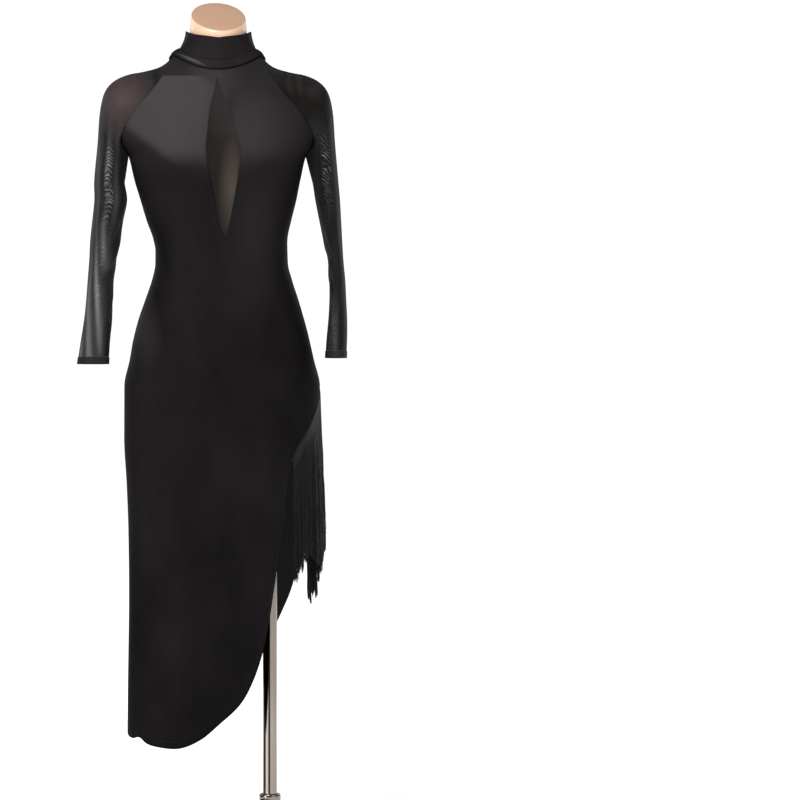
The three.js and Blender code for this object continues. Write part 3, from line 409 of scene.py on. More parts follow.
# The sleeves' creases: ends (degrees round the arm from the body's side over the front, z), half-width, depth
RIGHT_SLEEVE_CREASES = [
    (60, 1250, 76, 1100, 4.5, -2.4),
    (84, 1230, 88, 1080, 4, 2.0),
    (20, 1120, 62, 1060, 5, -2.6),
    (8, 1090, 66, 1034, 4, 2.2),
    (-10, 1064, 84, 1012, 5, -2.4),
    (120, 1180, 112, 1020, 6, 1.6),
    (100, 1060, 64, 950, 4.5, 2.0),
    (140, 1040, 96, 930, 5, -1.8),
    (66, 1000, 30, 900, 4, 1.6),
    (-6, 980, 44, 930, 5, -2.2),
    (150, 980, 118, 890, 5, 1.5),
    (220, 1180, 236, 1040, 7, -2.0),
    (300, 1100, 262, 1020, 6, 2.2),
    (340, 1060, 280, 990, 6, -2.0),
    (250, 1000, 286, 900, 6, 1.8),
]
LEFT_SLEEVE_CREASES = [
    (52, 1250, 66, 1090, 4.5, -2.2),
    (86, 1236, 84, 1096, 4, 2.2),
    (112, 1200, 100, 1060, 5, -1.6),
    (16, 1110, 60, 1052, 5, -2.4),
    (0, 1080, 70, 1020, 4, 2.0),
    (-8, 1040, 60, 990, 5, -2.0),
    (98, 1050, 70, 960, 4.5, 1.8),
    (130, 1010, 92, 910, 5, -1.6),
    (60, 970, 36, 900, 4, 1.6),
    (230, 1170, 246, 1030, 7, -2.0),
    (308, 1090, 266, 1010, 6, 2.0),
    (255, 990, 290, 900, 6, 1.8),
]

# Painted highlights on the velvet, where the light falls on the chest, bust and hips: each zone's colour, the planes
# that bound it and the soft spot it keeps to, in metres
PAINTED_LIGHT = [
    ((0.0145, 0.0125, 0.013), [(0, 0, 1, 1.175, 1.258)], None),
    ((0.0265, 0.0232, 0.024), [(0, 0, 1, 1.30, 1.345)], ((-0.012, -0.1, 1.372), (0.06, 0.4, 0.055))),
    (
        (0.041, 0.036, 0.0376),
        [
            (0, 0, 1, 1.205, 1.25), (0, 0, -1, -1.3765, -1.3745), (-1, 0, 0, -0.03, 0.037),
            (-1, 0, -1.6, -2.182, -2.152), (0.624, 0, 0.781, 0.894, 0.912),
        ],
        None,
    ),
    ((0.02, 0.0175, 0.0182), [(1, 0, 0, 0.018, 0.03)], ((0.045, -0.1, 1.285), (0.065, 0.4, 0.10), 10)),
    ((0.022, 0.019, 0.02), [], ((-0.15, -0.05, 0.96), (0.05, 0.3, 0.12), -16)),
    ((0.0085, 0.007, 0.0074), [], ((-0.15, -0.05, 0.75), (0.03, 0.3, 0.2))),
    ((0.0135, 0.0115, 0.012), [], ((0.065, -0.1, 1.10), (0.06, 0.4, 0.16))),
    (
        (0.0265, 0.0225, 0.0236),
        [(0, 0, 1, 1.212, 1.246), (1, 0, 0, 0.018, 0.03)],
        ((0.068, -0.1, 1.268), (0.085, 0.4, 0.09)),
    ),
]
# A painted highlight: a thin lighter streak on the collar's front, near its fold
COLLAR_PAINTED_LIGHT = [((0.06, 0.055, 0.055), [(0, -1, 0, 0, 0.02)], ((-0.047, -0.06, 1.4045), (0.032, 0.2, 0.0035), 25))]


# Small mathematics
def mix(a, b, f):
    return a + (b - a) * f


def clamp(value, low, high):
    return min(high, max(low, value))


def ease(f):
    f = clamp(f, 0, 1)
    return f * f * (3 - 2 * f)


def bell(distance, width):
    return math.exp(-0.5 * (distance / width) ** 2)


def plateau(value, low, high, soft):
    return ease((value - low) / soft + 0.5) * (1 - ease((value - high) / soft + 0.5))


def flat(point):
    return Vector((point.x, point.y, 0))


def towards(vector, away):
    """The vector, turned round if it looks the other way."""
    return vector if vector.dot(away) >= 0 else -vector


def circle(centre, radius, count, side=Vector((1, 0, 0)), other=Vector((0, 1, 0)), start=0):
    """Points round a circle in the plane of two directions."""
    turns = [start + 2 * math.pi * k / count for k in range(count)]
    return [centre + (side * math.cos(turn) + other * math.sin(turn)) * radius for turn in turns]


def lengths_along(points):
    """How far along a line each of its points lies."""
    lengths = [0.0]
    for a, b in zip(points, points[1:]):
        lengths.append(lengths[-1] + (b - a).length)
    return lengths


def row_at(rows, key, value):
    """The table's row at a value of its key column, on smooth curves that never overshoot the rows."""
    at = clamp(value, rows[0][key], rows[-1][key])
    i = 0
    while i < len(rows) - 2 and rows[i + 1][key] < at:
        i += 1

    def slope(name, k):
        return (rows[k + 1][name] - rows[k][name]) / (rows[k + 1][key] - rows[k][key])

    def tangent(name, k):
        if k == 0:
            return slope(name, 0)
        if k == len(rows) - 1:
            return slope(name, k - 1)
        before, after = slope(name, k - 1), slope(name, k)
        return 0 if before * after <= 0 else 2 * before * after / (before + after)

    span = rows[i + 1][key] - rows[i][key]
    f = (at - rows[i][key]) / span
    found = {}
    for name in rows[i]:
        start = rows[i][name] * (1 + 2 * f) * (1 - f) ** 2 + tangent(name, i) * span * f * (1 - f) ** 2
        end = rows[i + 1][name] * f**2 * (3 - 2 * f) - tangent(name, i + 1) * span * f**2 * (1 - f)
        found[name] = start + end
    return found


def spline(points, closed=False, steps=24):
    """A centripetal curve through points, as a dense list of points."""
    count = len(points)
    if closed:
        padded = [points[-1]] + points + points[:2]
    else:
        padded = [points[0] * 2 - points[1]] + points + [points[-1] * 2 - points[-2]]
    dense = []
    for k in range(count if closed else count - 1):
        p = padded[k:k + 4]
        knots = [0.0]
        for a, b in zip(p, p[1:]):
            knots.append(knots[-1] + max(1e-4, (b - a).length) ** 0.5)
        for n in range(steps):
            u = mix(knots[1], knots[2], n / steps)

            def between(a, b, i, j):
                return a * ((knots[j] - u) / (knots[j] - knots[i])) + b * ((u - knots[i]) / (knots[j] - knots[i]))

            first = [between(p[i], p[i + 1], i, i + 1) for i in range(3)]
            second = [between(first[i], first[i + 1], i, i + 2) for i in range(2)]
            dense.append(between(second[0], second[1], 1, 2))
    dense.append(points[0] if closed else points[-1])
    return dense


def spaced(dense, count):
    """count + 1 points at equal steps along a dense line."""
    lengths = lengths_along(dense)
    found = []
    k = 0
    for n in range(count + 1):
        at = lengths[-1] * n / count
        while k < len(dense) - 2 and lengths[k + 1] < at:
            k += 1
        span = lengths[k + 1] - lengths[k]
        found.append(dense[k].lerp(dense[k + 1], (at - lengths[k]) / span if span else 0))
    return found


# The panels' surface
def panel_rows(depth, yoke):
    body = [
        {"z": row["z"], "centre": row["centre"], "half": row["half"], "seam": 0, "middle": row[depth],
         "dip": 0, "across": row["power"], "depth": row["power"], "even": 0}
        for row in TORSO
    ]
    return body + [{"centre": -3, **row} for row in yoke]


def by_millimetre(rows):
    low, high = int(rows[0]["z"]), int(rows[-1]["z"])
    return low, [row_at(rows, "z", z) for z in range(low, high + 1)]


FRONT, BACK = [
    {"side": side, "rows": by_millimetre(panel_rows(kind, yoke)), "hem": hem, "creases": creases,
     "top": yoke[-1]["z"], "heights": [ARMPIT_Z] + [row["z"] for row in yoke]}
    for kind, side, yoke, hem, creases in (
        ("front", -1, FRONT_YOKE, FRONT_HEM, FRONT_CREASES), ("back", 1, BACK_YOKE, BACK_HEM, BACK_CREASES),
    )
]


def panel_row_at(panel, z):
    low, rows = panel["rows"]
    at = clamp(z - low, 0, len(rows) - 1.0001)
    k = int(at)
    return {name: mix(rows[k][name], rows[k + 1][name], at - k) for name in rows[k]}


def crease_rise(creases, x, z):
    rise = 0
    for x0, z0, x1, z1, wide, deep in creases:
        if z > max(z0, z1) + 30 or z < min(z0, z1) - 30:
            continue
        dx, dz = x1 - x0, z1 - z0
        f = ((x - x0) * dx + (z - z0) * dz) / (dx * dx + dz * dz)
        if -0.3 < f < 1.3:
            away = math.hypot(x - x0 - f * dx, z - z0 - f * dz)
            if away < 3 * wide:
                rise += deep * bell(away, wide) * ease(min(f + 0.3, 1.3 - f) / 0.55)
    return rise


def bust_rise(x, z):
    height = bell(z - BUST["z"], BUST["above"] if z > BUST["z"] else BUST["below"])
    return BUST["rise"] * height * (bell(x - BUST["apart"], BUST["wide"]) + bell(x + BUST["apart"], BUST["wide"]))


def fold_rise(side, x, z):
    rise = 0
    for fold in SKIRT_FOLDS:
        if fold["side"] == side and z <= fold["to"]:
            fade = ease((fold["to"] - z) / (fold["to"] - fold["from"]))
            rise += fold["depth"] * fade * bell(x - fold["x"] - fold["lean"] * (z - fold["from"]), fold["wide"])
    return rise


def across_row(row, t):
    return mix(math.sin(math.pi * t / 2), t, row["even"])


def panel_point(panel, t, z, creased=True, row=None):
    """The point at a share t of the way across, from -1 to 1, in the row of height z."""
    row = row or panel_row_at(panel, z)
    s = across_row(row, t)
    x = row["centre"] + row["half"] * s
    round_ = max(0, 1 - abs(s) ** row["across"]) ** (1 / row["depth"])
    relief = fold_rise(panel["side"], x, z)
    if panel["side"] < 0:
        relief += bust_rise(x - row["centre"], z)
    if creased:
        relief += crease_rise(panel["creases"], x, z)
    y = row["seam"] + (row["middle"] - row["seam"]) * round_ + relief * math.sqrt(round_)
    return Vector((x, panel["side"] * y, z - row["dip"] * (1 - s * s)))


def column_at(panel, x, z):
    """The share of the way across at which a row lies at x."""
    row = panel_row_at(panel, z)
    s = clamp((x - row["centre"]) / row["half"], -1, 1)
    low, high = -1, 1
    for _ in range(26):
        t = (low + high) / 2
        if across_row(row, t) < s:
            low = t
        else:
            high = t
    return (low + high) / 2


def middle_z(panel, z):
    return z - panel_row_at(panel, z)["dip"]


def real_row(panel, wanted):
    """The row whose middle lies at the wanted height."""
    z = wanted
    for _ in range(8):
        z = wanted + panel_row_at(panel, z)["dip"]
    return z


def front_keyhole(z):
    """The keyhole's two sides at a height, or None above and below it."""
    if not FRONT_KEYHOLE[0]["z"] + 0.2 < z < FRONT_KEYHOLE[-1]["z"] - 0.2:
        return None
    row = row_at(FRONT_KEYHOLE, "z", z)
    return row["centre"] - row["half"], row["centre"] + row["half"]


def back_keyhole(z):
    grow = BINDING["wide"] + SEAM
    top, bottom = BACK_KEYHOLE["top"] + grow, BACK_KEYHOLE["bottom"] - grow
    f = (top - z) / (top - bottom)
    if not 0.0005 < f < 0.9995:
        return None
    half = (BACK_KEYHOLE["half"] + grow) * math.sqrt(math.sin(math.pi * f ** BACK_KEYHOLE["skew"]))
    return -half, half


# Each keyhole's sides, its lower and upper tip, and the heights near the tips that need rows of their own
FRONT.update(keyhole=front_keyhole, tips=[(1092.1, 12.4), (1374.8, -2.6)], near=[])
BACK.update(
    keyhole=back_keyhole, tips=[(1075.8, 0), (1368.8, 0)], near=[1076.4, 1077.4, 1079, 1364.2, 1366, 1367.4, 1368.3],
)


def hem_columns(panel):
    last = len(panel["hem"]) - 1
    points = []
    for k, (x, z) in enumerate(panel["hem"]):
        t = -1 if k == 0 else 1 if k == last else column_at(panel, x, z)
        points.append(Vector((t * TORSO[0]["half"], 0, z)))
    columns = [(point.x / TORSO[0]["half"], point.z) for point in spaced(spline(points), COLUMNS)]
    return [(-1, columns[0][1])] + columns[1:-1] + [(1, columns[-1][1])]


def panel_sheet(panel):
    """Rows of points from the hem to the neckline, with the twin of the middle point where a keyhole is open."""
    rows = []
    hem = hem_columns(panel)
    for k in range(SKIRT_ROWS, 0, -1):
        f = k / SKIRT_ROWS
        line = [
            panel_point(panel, mix(i / HALF_COLUMNS - 1, t, f), mix(SKIRT_TOP_Z, z, f))
            for i, (t, z) in enumerate(hem)
        ]
        rows.append((line, None))
    special = [real_row(panel, z) for z in [tip[0] for tip in panel["tips"]] + panel["near"]]
    steps = round((panel["top"] - SKIRT_TOP_Z) / ROW_STEP)
    plain = [mix(SKIRT_TOP_Z, panel["top"], k / steps) for k in range(steps + 1)]
    for z in sorted([z for z in plain if all(abs(z - other) > 1.2 for other in special)] + special):
        row = panel_row_at(panel, z)
        level = middle_z(panel, z)
        sides = panel["keyhole"](level)
        if sides:
            ends = [column_at(panel, x, z) for x in sides]
        else:
            tip = panel["tips"][0 if level < BETWEEN_TIPS_Z else 1][1]
            ends = [column_at(panel, tip, z) * ease((z - SKIRT_TOP_Z) / 120)] * 2
        line = []
        for i in range(COLUMNS + 1):
            f = i / HALF_COLUMNS
            t = mix(-1, ends[0], f) if f <= 1 else mix(ends[1], 1, f - 1)
            line.append(panel_point(panel, t, z, row=row))
        rows.append((line, panel_point(panel, ends[1], z, row=row) if sides else None))
    return rows


# Meshes
def mesh_object(name, points, faces):
    mesh = bpy.data.meshes.new(name)
    mesh.from_pydata([point * 0.001 for point in points], [], faces)
    mesh.validate()
    mesh.update()
    mesh.polygons.foreach_set("use_smooth", [True] * len(mesh.polygons))
    obj = bpy.data.objects.new(name, mesh)
    bpy.context.scene.collection.objects.link(obj)
    return obj


def sheet_mesh(name, rows, closed=False):
    """A mesh through rows of points, parted beside its middle where a row's middle point has a twin."""
    points, starts, faces = [], [], []
    for line, twin in rows:
        starts.append((len(points), len(points) + (len(line) if twin else HALF_COLUMNS)))
        points.extend(line + [twin] if twin else line)
    width = len(rows[0][0])

    def index(j, i, right):
        column = i % width
        return starts[j][1] if right and column == HALF_COLUMNS else starts[j][0] + column

    for j in range(len(rows) - 1):
        for i in range(width if closed else width - 1):
            right = not closed and i >= HALF_COLUMNS
            faces.append([index(*corner, right) for corner in ((j, i), (j, i + 1), (j + 1, i + 1), (j + 1, i))])
    return mesh_object(name, points, faces)


def face_out(obj, centre=None):
    """Turns the faces away from a centre, or from a line up through the middle."""
    bm = bmesh.new()
    bm.from_mesh(obj.data)
    total = 0
    for face in bm.faces:
        middle = face.calc_center_median()
        total += face.normal.dot(middle - Vector(centre) if centre else flat(middle)) * face.calc_area()
    if total < 0:
        bmesh.ops.reverse_faces(bm, faces=bm.faces)
    bm.to_mesh(obj.data)
    bm.free()
    return obj


def thick(obj):
    solid = obj.modifiers.new("cloth", "SOLIDIFY")
    solid.thickness = CLOTH_WALL * 0.001
    solid.offset = 0
    solid.use_even_offset = False
    return obj


def ring_faces(count, size, first=0, joined=False):
    """Faces through rings of equal size; the ends are capped unless they are joined to each other."""
    faces = []
    for j in range(count if joined else count - 1):
        row, after = first + j * size, first + (j + 1) % count * size
        for i in range(size):
            k = (i + 1) % size
            faces.append([row + i, row + k, after + k, after + i])
    if not joined:
        faces.append([first + i for i in range(size)][::-1])
        faces.append([first + (count - 1) * size + i for i in range(size)])
    return faces


def ring_mesh(name, rings, joined=False):
    """A body through rings of points, with its faces outwards."""
    faces = ring_faces(len(rings), len(rings[0]), joined=joined)
    obj = mesh_object(name, [point for ring in rings for point in ring], faces)
    bm = bmesh.new()
    bm.from_mesh(obj.data)
    bmesh.ops.recalc_face_normals(bm, faces=bm.faces)
    bm.to_mesh(obj.data)
    bm.free()
    return obj


def normals_along(lines):
    """Normals of a grid of points, one list for each line."""
    found = []
    for j, line in enumerate(lines):
        below, above = lines[max(0, j - 1)], lines[min(len(lines) - 1, j + 1)]
        found.append([
            (line[min(len(line) - 1, i + 1)] - line[max(0, i - 1)]).cross(above[i] - below[i]).normalized()
            for i in range(len(line))
        ])
    return found


# Sleeves
def neck_arc(sign, front, back, count):
    """Points between the panels' necklines over a shoulder, each with its share of the way."""
    arc = []
    for k in range(1, count):
        f = k / count
        point = front.lerp(back, f)
        point.x += sign * NECK_BULGE * 4 * f * (1 - f)
        arc.append((point, f))
    return arc


def sleeve_loop(sign):
    """Points once round the armhole and over the shoulder: each with its angle on the arm and nearness to the pit."""

    def seam(panel):
        found = []
        last = len(panel["heights"]) - 1
        for n in range(last * SEAM_STEPS + 1):
            j = n / SEAM_STEPS
            k = min(int(j), last - 1)
            point = panel_point(panel, sign, mix(panel["heights"][k], panel["heights"][k + 1], j - k))
            found.append((point, SEAM_SWEEP * (j / last) ** SEAM_POWER, max(0, 1 - j / PIT_COLUMNS)))
        return found

    front, back = seam(FRONT), seam(BACK)[:0:-1]
    arc = neck_arc(sign, front[-1][0], back[0][0], NECK_STEPS * SEAM_STEPS)
    return (
        front + [(point, mix(SEAM_SWEEP, 360 - SEAM_SWEEP, f), 0) for point, f in arc]
        + [(point, 360 - sweep, pit) for point, sweep, pit in back]
    )


def arm_point(row, sign, angle, out=0):
    depth = math.sqrt(2 * (row["girth"] / (2 * math.pi)) ** 2 - row["half"] ** 2)
    turn = math.radians(angle)
    x = row["x"] - sign * (row["half"] + out) * math.cos(turn)
    return Vector((x, row["y"] - (depth + out) * math.sin(turn), row["z"]))


def sleeve_creases(creases, angle, z, girth):
    around = girth / 360
    rise = 0
    for a0, z0, a1, z1, wide, deep in creases:
        for turn in (-360, 0, 360):
            if abs(angle + turn - (a0 + a1) / 2) < 90:
                rise += crease_rise([(a0 * around, z0, a1 * around, z1, wide, deep)], (angle + turn) * around, z)
    return rise


def sleeve_light(sign, angle, z):
    """The net's painted light: its paler level, which stands in for light seen through the net and leaves the arm's
    sides and top dark, its band of fine lines, painted moiré streaks of that light, and the way round from that band's
    middle, in metres.
    """
    turn = angle if angle <= 180 else 360 - angle
    if sign < 0:
        lower = 1 - ease((z - 960) / 130)
        level = plateau(turn, 52, 168, 46) * mix(0.62, 1, lower) * (1 - 0.75 * ease((z - 1240) / 70))
        level *= 1 - 0.8 * bell(turn - 111, 6) * plateau(z, 1125, 1290, 40)
        level += 0.3 * plateau(turn, 82, 118, 26) * plateau(z, 965, 1100, 80)
        band = plateau(turn, 76, 105, 14) * plateau(z, 1130, 1250, 70)
        band += 0.25 * plateau(turn, 82, 118, 22) * plateau(z, 975, 1100, 70)
        middle = 92
    else:
        level = 0.1 + 0.36 * plateau(turn, 122, 160, 18) + 0.42 * plateau(turn, 40, 92, 30) * plateau(z, 880, 985, 60)
        level *= plateau(turn, 30, 172, 30) * (1 - 0.6 * ease((z - 1260) / 60))
        band = 0.8 * plateau(turn, 72, 116, 18) * plateau(z, 1150, 1275, 70)
        band += 0.3 * plateau(turn, 45, 88, 22) * plateau(z, 890, 975, 60)
        middle = 72
    return level, band, (turn - middle) * METRES_PER_DEGREE


def sleeve_sheet(arm, sign, creases):
    """Rows of points from the armhole to the cuff, and what sleeve_light says of every point."""
    columns = sleeve_loop(sign)
    top = arm[-1]
    cuff_top = arm[0]["z"] + CUFF["tall"]
    heights = [row["z"] for row in arm if row["z"] > cuff_top + 8][::-1] + [cuff_top]
    lines = []
    for point, angle, pit in columns:
        end = arm_point(top, sign, angle)
        slope = abs(end.x - point.x) / abs(end.z - point.z)
        knots = [point]
        for k, (out, crown) in enumerate(SHOULDER):
            even = (k + 1) / (len(SHOULDER) + 1)
            down = crown ** (1 + LOW_TURN * max(0, 1 - slope / SHOULDER_SLOPE))
            shares = [mix(share, even, pit) for share in (out, out, down)]
            knots.append(Vector([mix(*ends) for ends in zip(point, end, shares)]))
        knots += [arm_point(row_at(arm, "z", z), sign, angle) for z in heights]
        lines.append(spline(knots, steps=4))
    rows = list(zip(*lines))
    shaped, lit = [], []
    for k, row in enumerate(rows):
        below, above = rows[max(0, k - 1)], rows[min(len(rows) - 1, k + 1)]
        edge = min(1, k / 6, (len(rows) - 1 - k) / 4)
        line = []
        for i, (point, (_, angle, _)) in enumerate(zip(row, columns)):
            normal = (row[(i + 1) % len(row)] - row[i - 1]).cross(above[i] - below[i]).normalized()
            normal = towards(normal, point - Vector((top["x"] if k > 20 else 0, 0, point.z)))
            girth = row_at(arm, "z", point.z)["girth"]
            line.append(point + normal * sleeve_creases(creases, angle, point.z, girth) * edge)
            lit.append(sleeve_light(sign, angle, point.z))
        shaped.append((line, None))
    return shaped, lit


def cuff_rings(arm, sign):
    low, high = arm[0]["z"], arm[0]["z"] + CUFF["tall"] - SEAM
    wall = CUFF["wall"] / 2
    section = [
        (low + 0.9, wall), (low + 4, wall * 1.1), (low + 8, wall * 0.95), (high - 0.8, wall), (high, wall * 0.4),
        (high, -wall * 0.4), (high - 0.8, -wall), (low + 0.9, -wall), (low, -wall * 0.4), (low, wall * 0.4),
    ]
    angles = [angle for point, angle, pit in sleeve_loop(sign)]
    return [[arm_point(row_at(arm, "z", z), sign, angle, out) for angle in angles] for z, out in section]


# Keyholes
def inset_rows(columns=16, count=90):
    low, high = real_row(FRONT, 1093), real_row(FRONT, 1373.8)
    rows = []
    for k in range(count + 1):
        z = mix(low, high, k / count)
        ends = [column_at(FRONT, x, z) for x in front_keyhole(middle_z(FRONT, z))]
        row = panel_row_at(FRONT, z)
        rows.append(([panel_point(FRONT, mix(*ends, i / columns), z, row=row) for i in range(columns + 1)], None))
    return rows


def keyhole_loop(rows):
    """The points and outward normals once round the back panel's keyhole."""
    left, right = [], []
    for (line, twin), normals in zip(rows, normals_along([line for line, twin in rows])):
        if twin:
            left.append((line[HALF_COLUMNS], normals[HALF_COLUMNS - 2]))
            right.append((twin, normals[HALF_COLUMNS + 3]))
    return [(point, towards(normal, Vector((0, 1, 0)))) for point, normal in left + right[::-1]]


def binding_rings(loop):
    centre = Vector((0, 0, (BACK_KEYHOLE["top"] + BACK_KEYHOLE["bottom"]) / 2))
    half, wide = BINDING["thick"] / 2, BINDING["wide"]
    section = [
        (SEAM + 0.2, half * 0.8), (SEAM + 1.2, half), (wide * 0.6, half), (wide, half * 0.75), (wide + SEAM, 0),
        (wide, -half * 0.75), (wide * 0.6, -half), (SEAM + 1.2, -half), (SEAM + 0.2, -half * 0.8), (SEAM, 0),
    ]
    rings = []
    for k, (point, normal) in enumerate(loop):
        along = (loop[(k + 1) % len(loop)][0] - loop[k - 1][0]).normalized()
        inward = towards(along.cross(normal).normalized(), centre - point)
        rings.append([point + inward * across + normal * up for across, up in section])
    return rings


# Collar
def neckline():
    """Points once round the neckline from the centre back, each with one lower down on the cloth."""
    middle = LOOP_COLUMNS // 2

    def arc(sign):
        ends = [panel_point(panel, sign, panel["top"], False) for panel in (FRONT, BACK)]
        below = Vector((sign * NECK_BELOW["out"], 0, -NECK_BELOW["down"]))
        return [(point, point + below) for point, f in neck_arc(sign, *ends, NECK_STEPS)]

    def edge(panel):
        return [
            [panel_point(panel, i / middle - 1, panel["top"] - down, False) for down in (0, NECK_BELOW["drop"])]
            for i in range(LOOP_COLUMNS + 1)
        ]

    back = edge(BACK)
    return back[middle::-1] + arc(-1)[::-1] + edge(FRONT) + arc(1) + back[:middle:-1]


def neck_frames():
    """Frames along the collar, from one end of its lap to the other."""
    line, lower = [spline(list(points), closed=True) for points in zip(*neckline())]
    lengths = lengths_along(line)
    frames = []
    for n in range(COLLAR["stations"] + 1):
        q = mix(-LAP["overlap"], 1 + LAP["overlap"], n / COLLAR["stations"])
        at = (q % 1) * lengths[-1]
        k = max(i for i in range(len(lengths) - 1) if lengths[i] <= at)
        f = (at - lengths[k]) / (lengths[k + 1] - lengths[k])
        point = line[k].lerp(line[k + 1], f)
        angle = math.atan2(point.x - NECK["centre"], -point.y)
        top = Vector((
            NECK["centre"] + COLLAR["half"] * math.sin(angle),
            -COLLAR["deep"] * math.cos(angle),
            row_at(COLLAR_TOP, "angle", abs(math.degrees(angle)))["z"],
        ))
        along = (line[k + 1] - line[k]).normalized()
        down = (lower[k].lerp(lower[k + 1], f) - point).normalized()
        out = towards(along.cross(down).normalized(), flat(point))
        frames.append({"q": q, "point": point, "top": top, "along": along, "down": down, "out": out})
    return frames


def band_point(frame_, h):
    reach = 1 - (1 - h) ** 2
    point, top = frame_["point"], frame_["top"]
    return Vector((mix(point.x, top.x, reach), mix(point.y, top.y, reach), mix(point.z + COLLAR["foot"], top.z, h)))


def band_normal(frame_, h):
    up = band_point(frame_, min(1, h + 0.05)) - band_point(frame_, max(0, h - 0.05))
    return towards(frame_["along"].cross(up).normalized(), flat(frame_["point"]))


def band_rise(frame_, h, out):
    """A point at a distance out of the band, whose end laps over its start."""
    lap = LAP["rise"] * ease((frame_["q"] - LAP["from"]) / (1 - LAP["overlap"] - LAP["from"]))
    return band_point(frame_, h) + band_normal(frame_, h) * (lap + out)


def collar_wave(q, h):
    """Shallow creases round the collar."""
    wave = math.sin(q * 23 + h * 5) * 0.35 + math.sin(q * 41 - h * 7 + 1) * 0.22
    return wave * h * (1 - 0.5 * h)


def collar_rings(frames):
    half = COLLAR["wall"] / 2
    heights = [0, 0.04, 0.12, 0.2, 0.28, 0.36, 0.45, 0.54, 0.63, 0.72, 0.81, 0.9, 0.97]
    section = [(h, half) for h in heights] + [(0.99, half * 0.9), (1, half * 0.4)]
    section += [(h, -out) for h, out in section[::-1]]
    return [[band_rise(one, h, out + collar_wave(one["q"], h)) for h, out in section] for one in frames]


def fold_rings(frames):
    rings = []
    for frame_ in frames:
        inside = min(frame_["q"], 1 - frame_["q"]) - FOLD["end"]
        if inside <= 0:
            continue
        full = FOLD["thick"] * mix(FOLD["thin"], 1, ease(inside / FOLD["taper"]))

        def on_band(h, out):
            return band_rise(frame_, h, COLLAR["wall"] / 2 + CLEAR + out)

        def on_cloth(down, out):
            return frame_["point"] + frame_["down"] * down + frame_["out"] * (WALL / 2 + FOLD["clear"] + out)

        high = FOLD["up"]
        section = [
            on_band(high, full * 0.5), on_band(high * 0.5, full), on_band(0, full).lerp(on_cloth(0, full), 0.5),
            on_cloth(FOLD["down"], full * 0.45), on_cloth(FOLD["down"] * 0.9, 0), on_cloth(0, 0),
            on_band(0, 0), on_band(high, 0),
        ]
        rings.append(spline(section, closed=True, steps=3)[:-1])
    return rings


def button(name, x, z, radius, on_collar, frames):
    """A bead button on the collar's outer end or on the back panel."""
    if on_collar:
        end = min((one for one in frames if one["q"] > 0.9), key=lambda one: abs(one["point"].x - x))
        foot_z = end["point"].z + COLLAR["foot"]
        h = (z - foot_z) / (end["top"].z - foot_z)
        out = band_normal(end, h)
        at = band_rise(end, h, COLLAR["wall"] / 2 + CLEAR)
    else:
        row_z = z + panel_row_at(BACK, z + 20)["dip"]
        t = column_at(BACK, x, row_z)

        def near(more, up):
            return panel_point(BACK, t + more, row_z + up, False)

        across = near(0.05, 0) - near(-0.05, 0)
        out = towards((near(0, 3) - near(0, -3)).cross(across).normalized(), Vector((0, 1, 0)))
        at = near(0, 0) + out * (WALL / 2 + CLEAR)
    side = out.orthogonal().normalized()
    return ring_mesh(name, [
        circle(at + out * up * radius, max(reach, 0.001) * radius, 28, side, out.cross(side)) for reach, up in BEAD
    ])


# Fringe
def fringe_object(name, rows, fringe):
    """A strip along the slit's edge with threads in three layers, drawn together in clumps."""
    side, start, end = fringe["side"], fringe["from"], fringe["to"]
    hem = [line for line, twin in rows[:3]]
    edge = [
        (point, towards(normal, Vector((0, side, 0))))
        for point, normal in zip(hem[0], normals_along(hem)[0]) if point.x > 40
    ]

    def frame_at(z):
        k = next((i for i, (point, normal) in enumerate(edge) if point.z >= z), len(edge) - 1)
        k = clamp(k - 1, 0, len(edge) - 2)
        (low, low_normal), (high, high_normal) = edge[k], edge[k + 1]
        f = (z - low.z) / (high.z - low.z)
        out = low_normal.lerp(high_normal, clamp(f, 0, 1)).normalized()
        beyond = towards((high - low).normalized().cross(out).normalized(), Vector((0, -side, 0)))
        return low.lerp(high, f), out, beyond

    points, faces = [], []

    def add_rings(rings):
        faces.extend(ring_faces(len(rings), len(rings[0]), len(points)))
        for ring in rings:
            points.extend(ring)

    half, wide = FRINGE["thick"] / 2, FRINGE["wide"]
    corners = [(0.15, 0.9), (0.8, 1), (wide - 0.6, 1), (wide, 0.6)]
    corners += [(across, -up) for across, up in corners[::-1]]
    strip = []
    for k in range(41):
        point, out, beyond = frame_at(mix(start, end, k / 40))
        strip.append([point + beyond * across + out * up * half for across, up in corners])
    add_rings(strip)
    clumps = {}
    for n in range(fringe["threads"]):
        for layer in (-1, 0, 1):
            share = clamp((n + 0.5 + 0.3 * layer + random.uniform(-0.3, 0.3)) / fringe["threads"], 0.004, 0.996)
            z = mix(start, end, share)
            point, out, beyond = frame_at(z)
            root = point + beyond * wide * random.uniform(0.55, 0.8) + out * (0.4 + layer * 0.75)
            group = int(share * fringe["threads"] / THREADS_IN_CLUMP)
            if group not in clumps:
                clumps[group] = [random.uniform(*ends) for ends in ((-2.5, 2.5), (-2.2, 2.2), (-10, 10), (0, 6))]
            drift, depth, more, phase = clumps[group]
            lean = mix(fringe["lean"], 8, share)
            long = row_at(fringe["lengths"], "z", z)["long"] + more + random.uniform(-5, 5)
            if random.random() < SHORT_THREADS:
                long -= random.uniform(8, 30)
            own_phase = random.uniform(0, 6)
            own_x, own_y = random.uniform(-1.1, 1.1), random.uniform(-1.1, 1.1)
            rings = []
            for k in range(THREAD_STEPS + 1):
                f = k / THREAD_STEPS
                wave = math.sin(f * 7 + phase) * 0.9 * f + math.sin(f * 17 + own_phase) * 0.5 * ease(f * 3)
                x = root.x + lean * f + drift * f * f + own_x * ease(f * 2) + wave
                y = root.y + side * 0.8 * ease(f * 4) + depth * f + own_y * ease(f * 2) + wave * 0.6
                rings.append(circle(Vector((x, y, root.z - long * f)), mix(0.55, 0.42, f), 3, start=0.3))
            add_rings(rings)
    return mesh_object(name, points, faces)


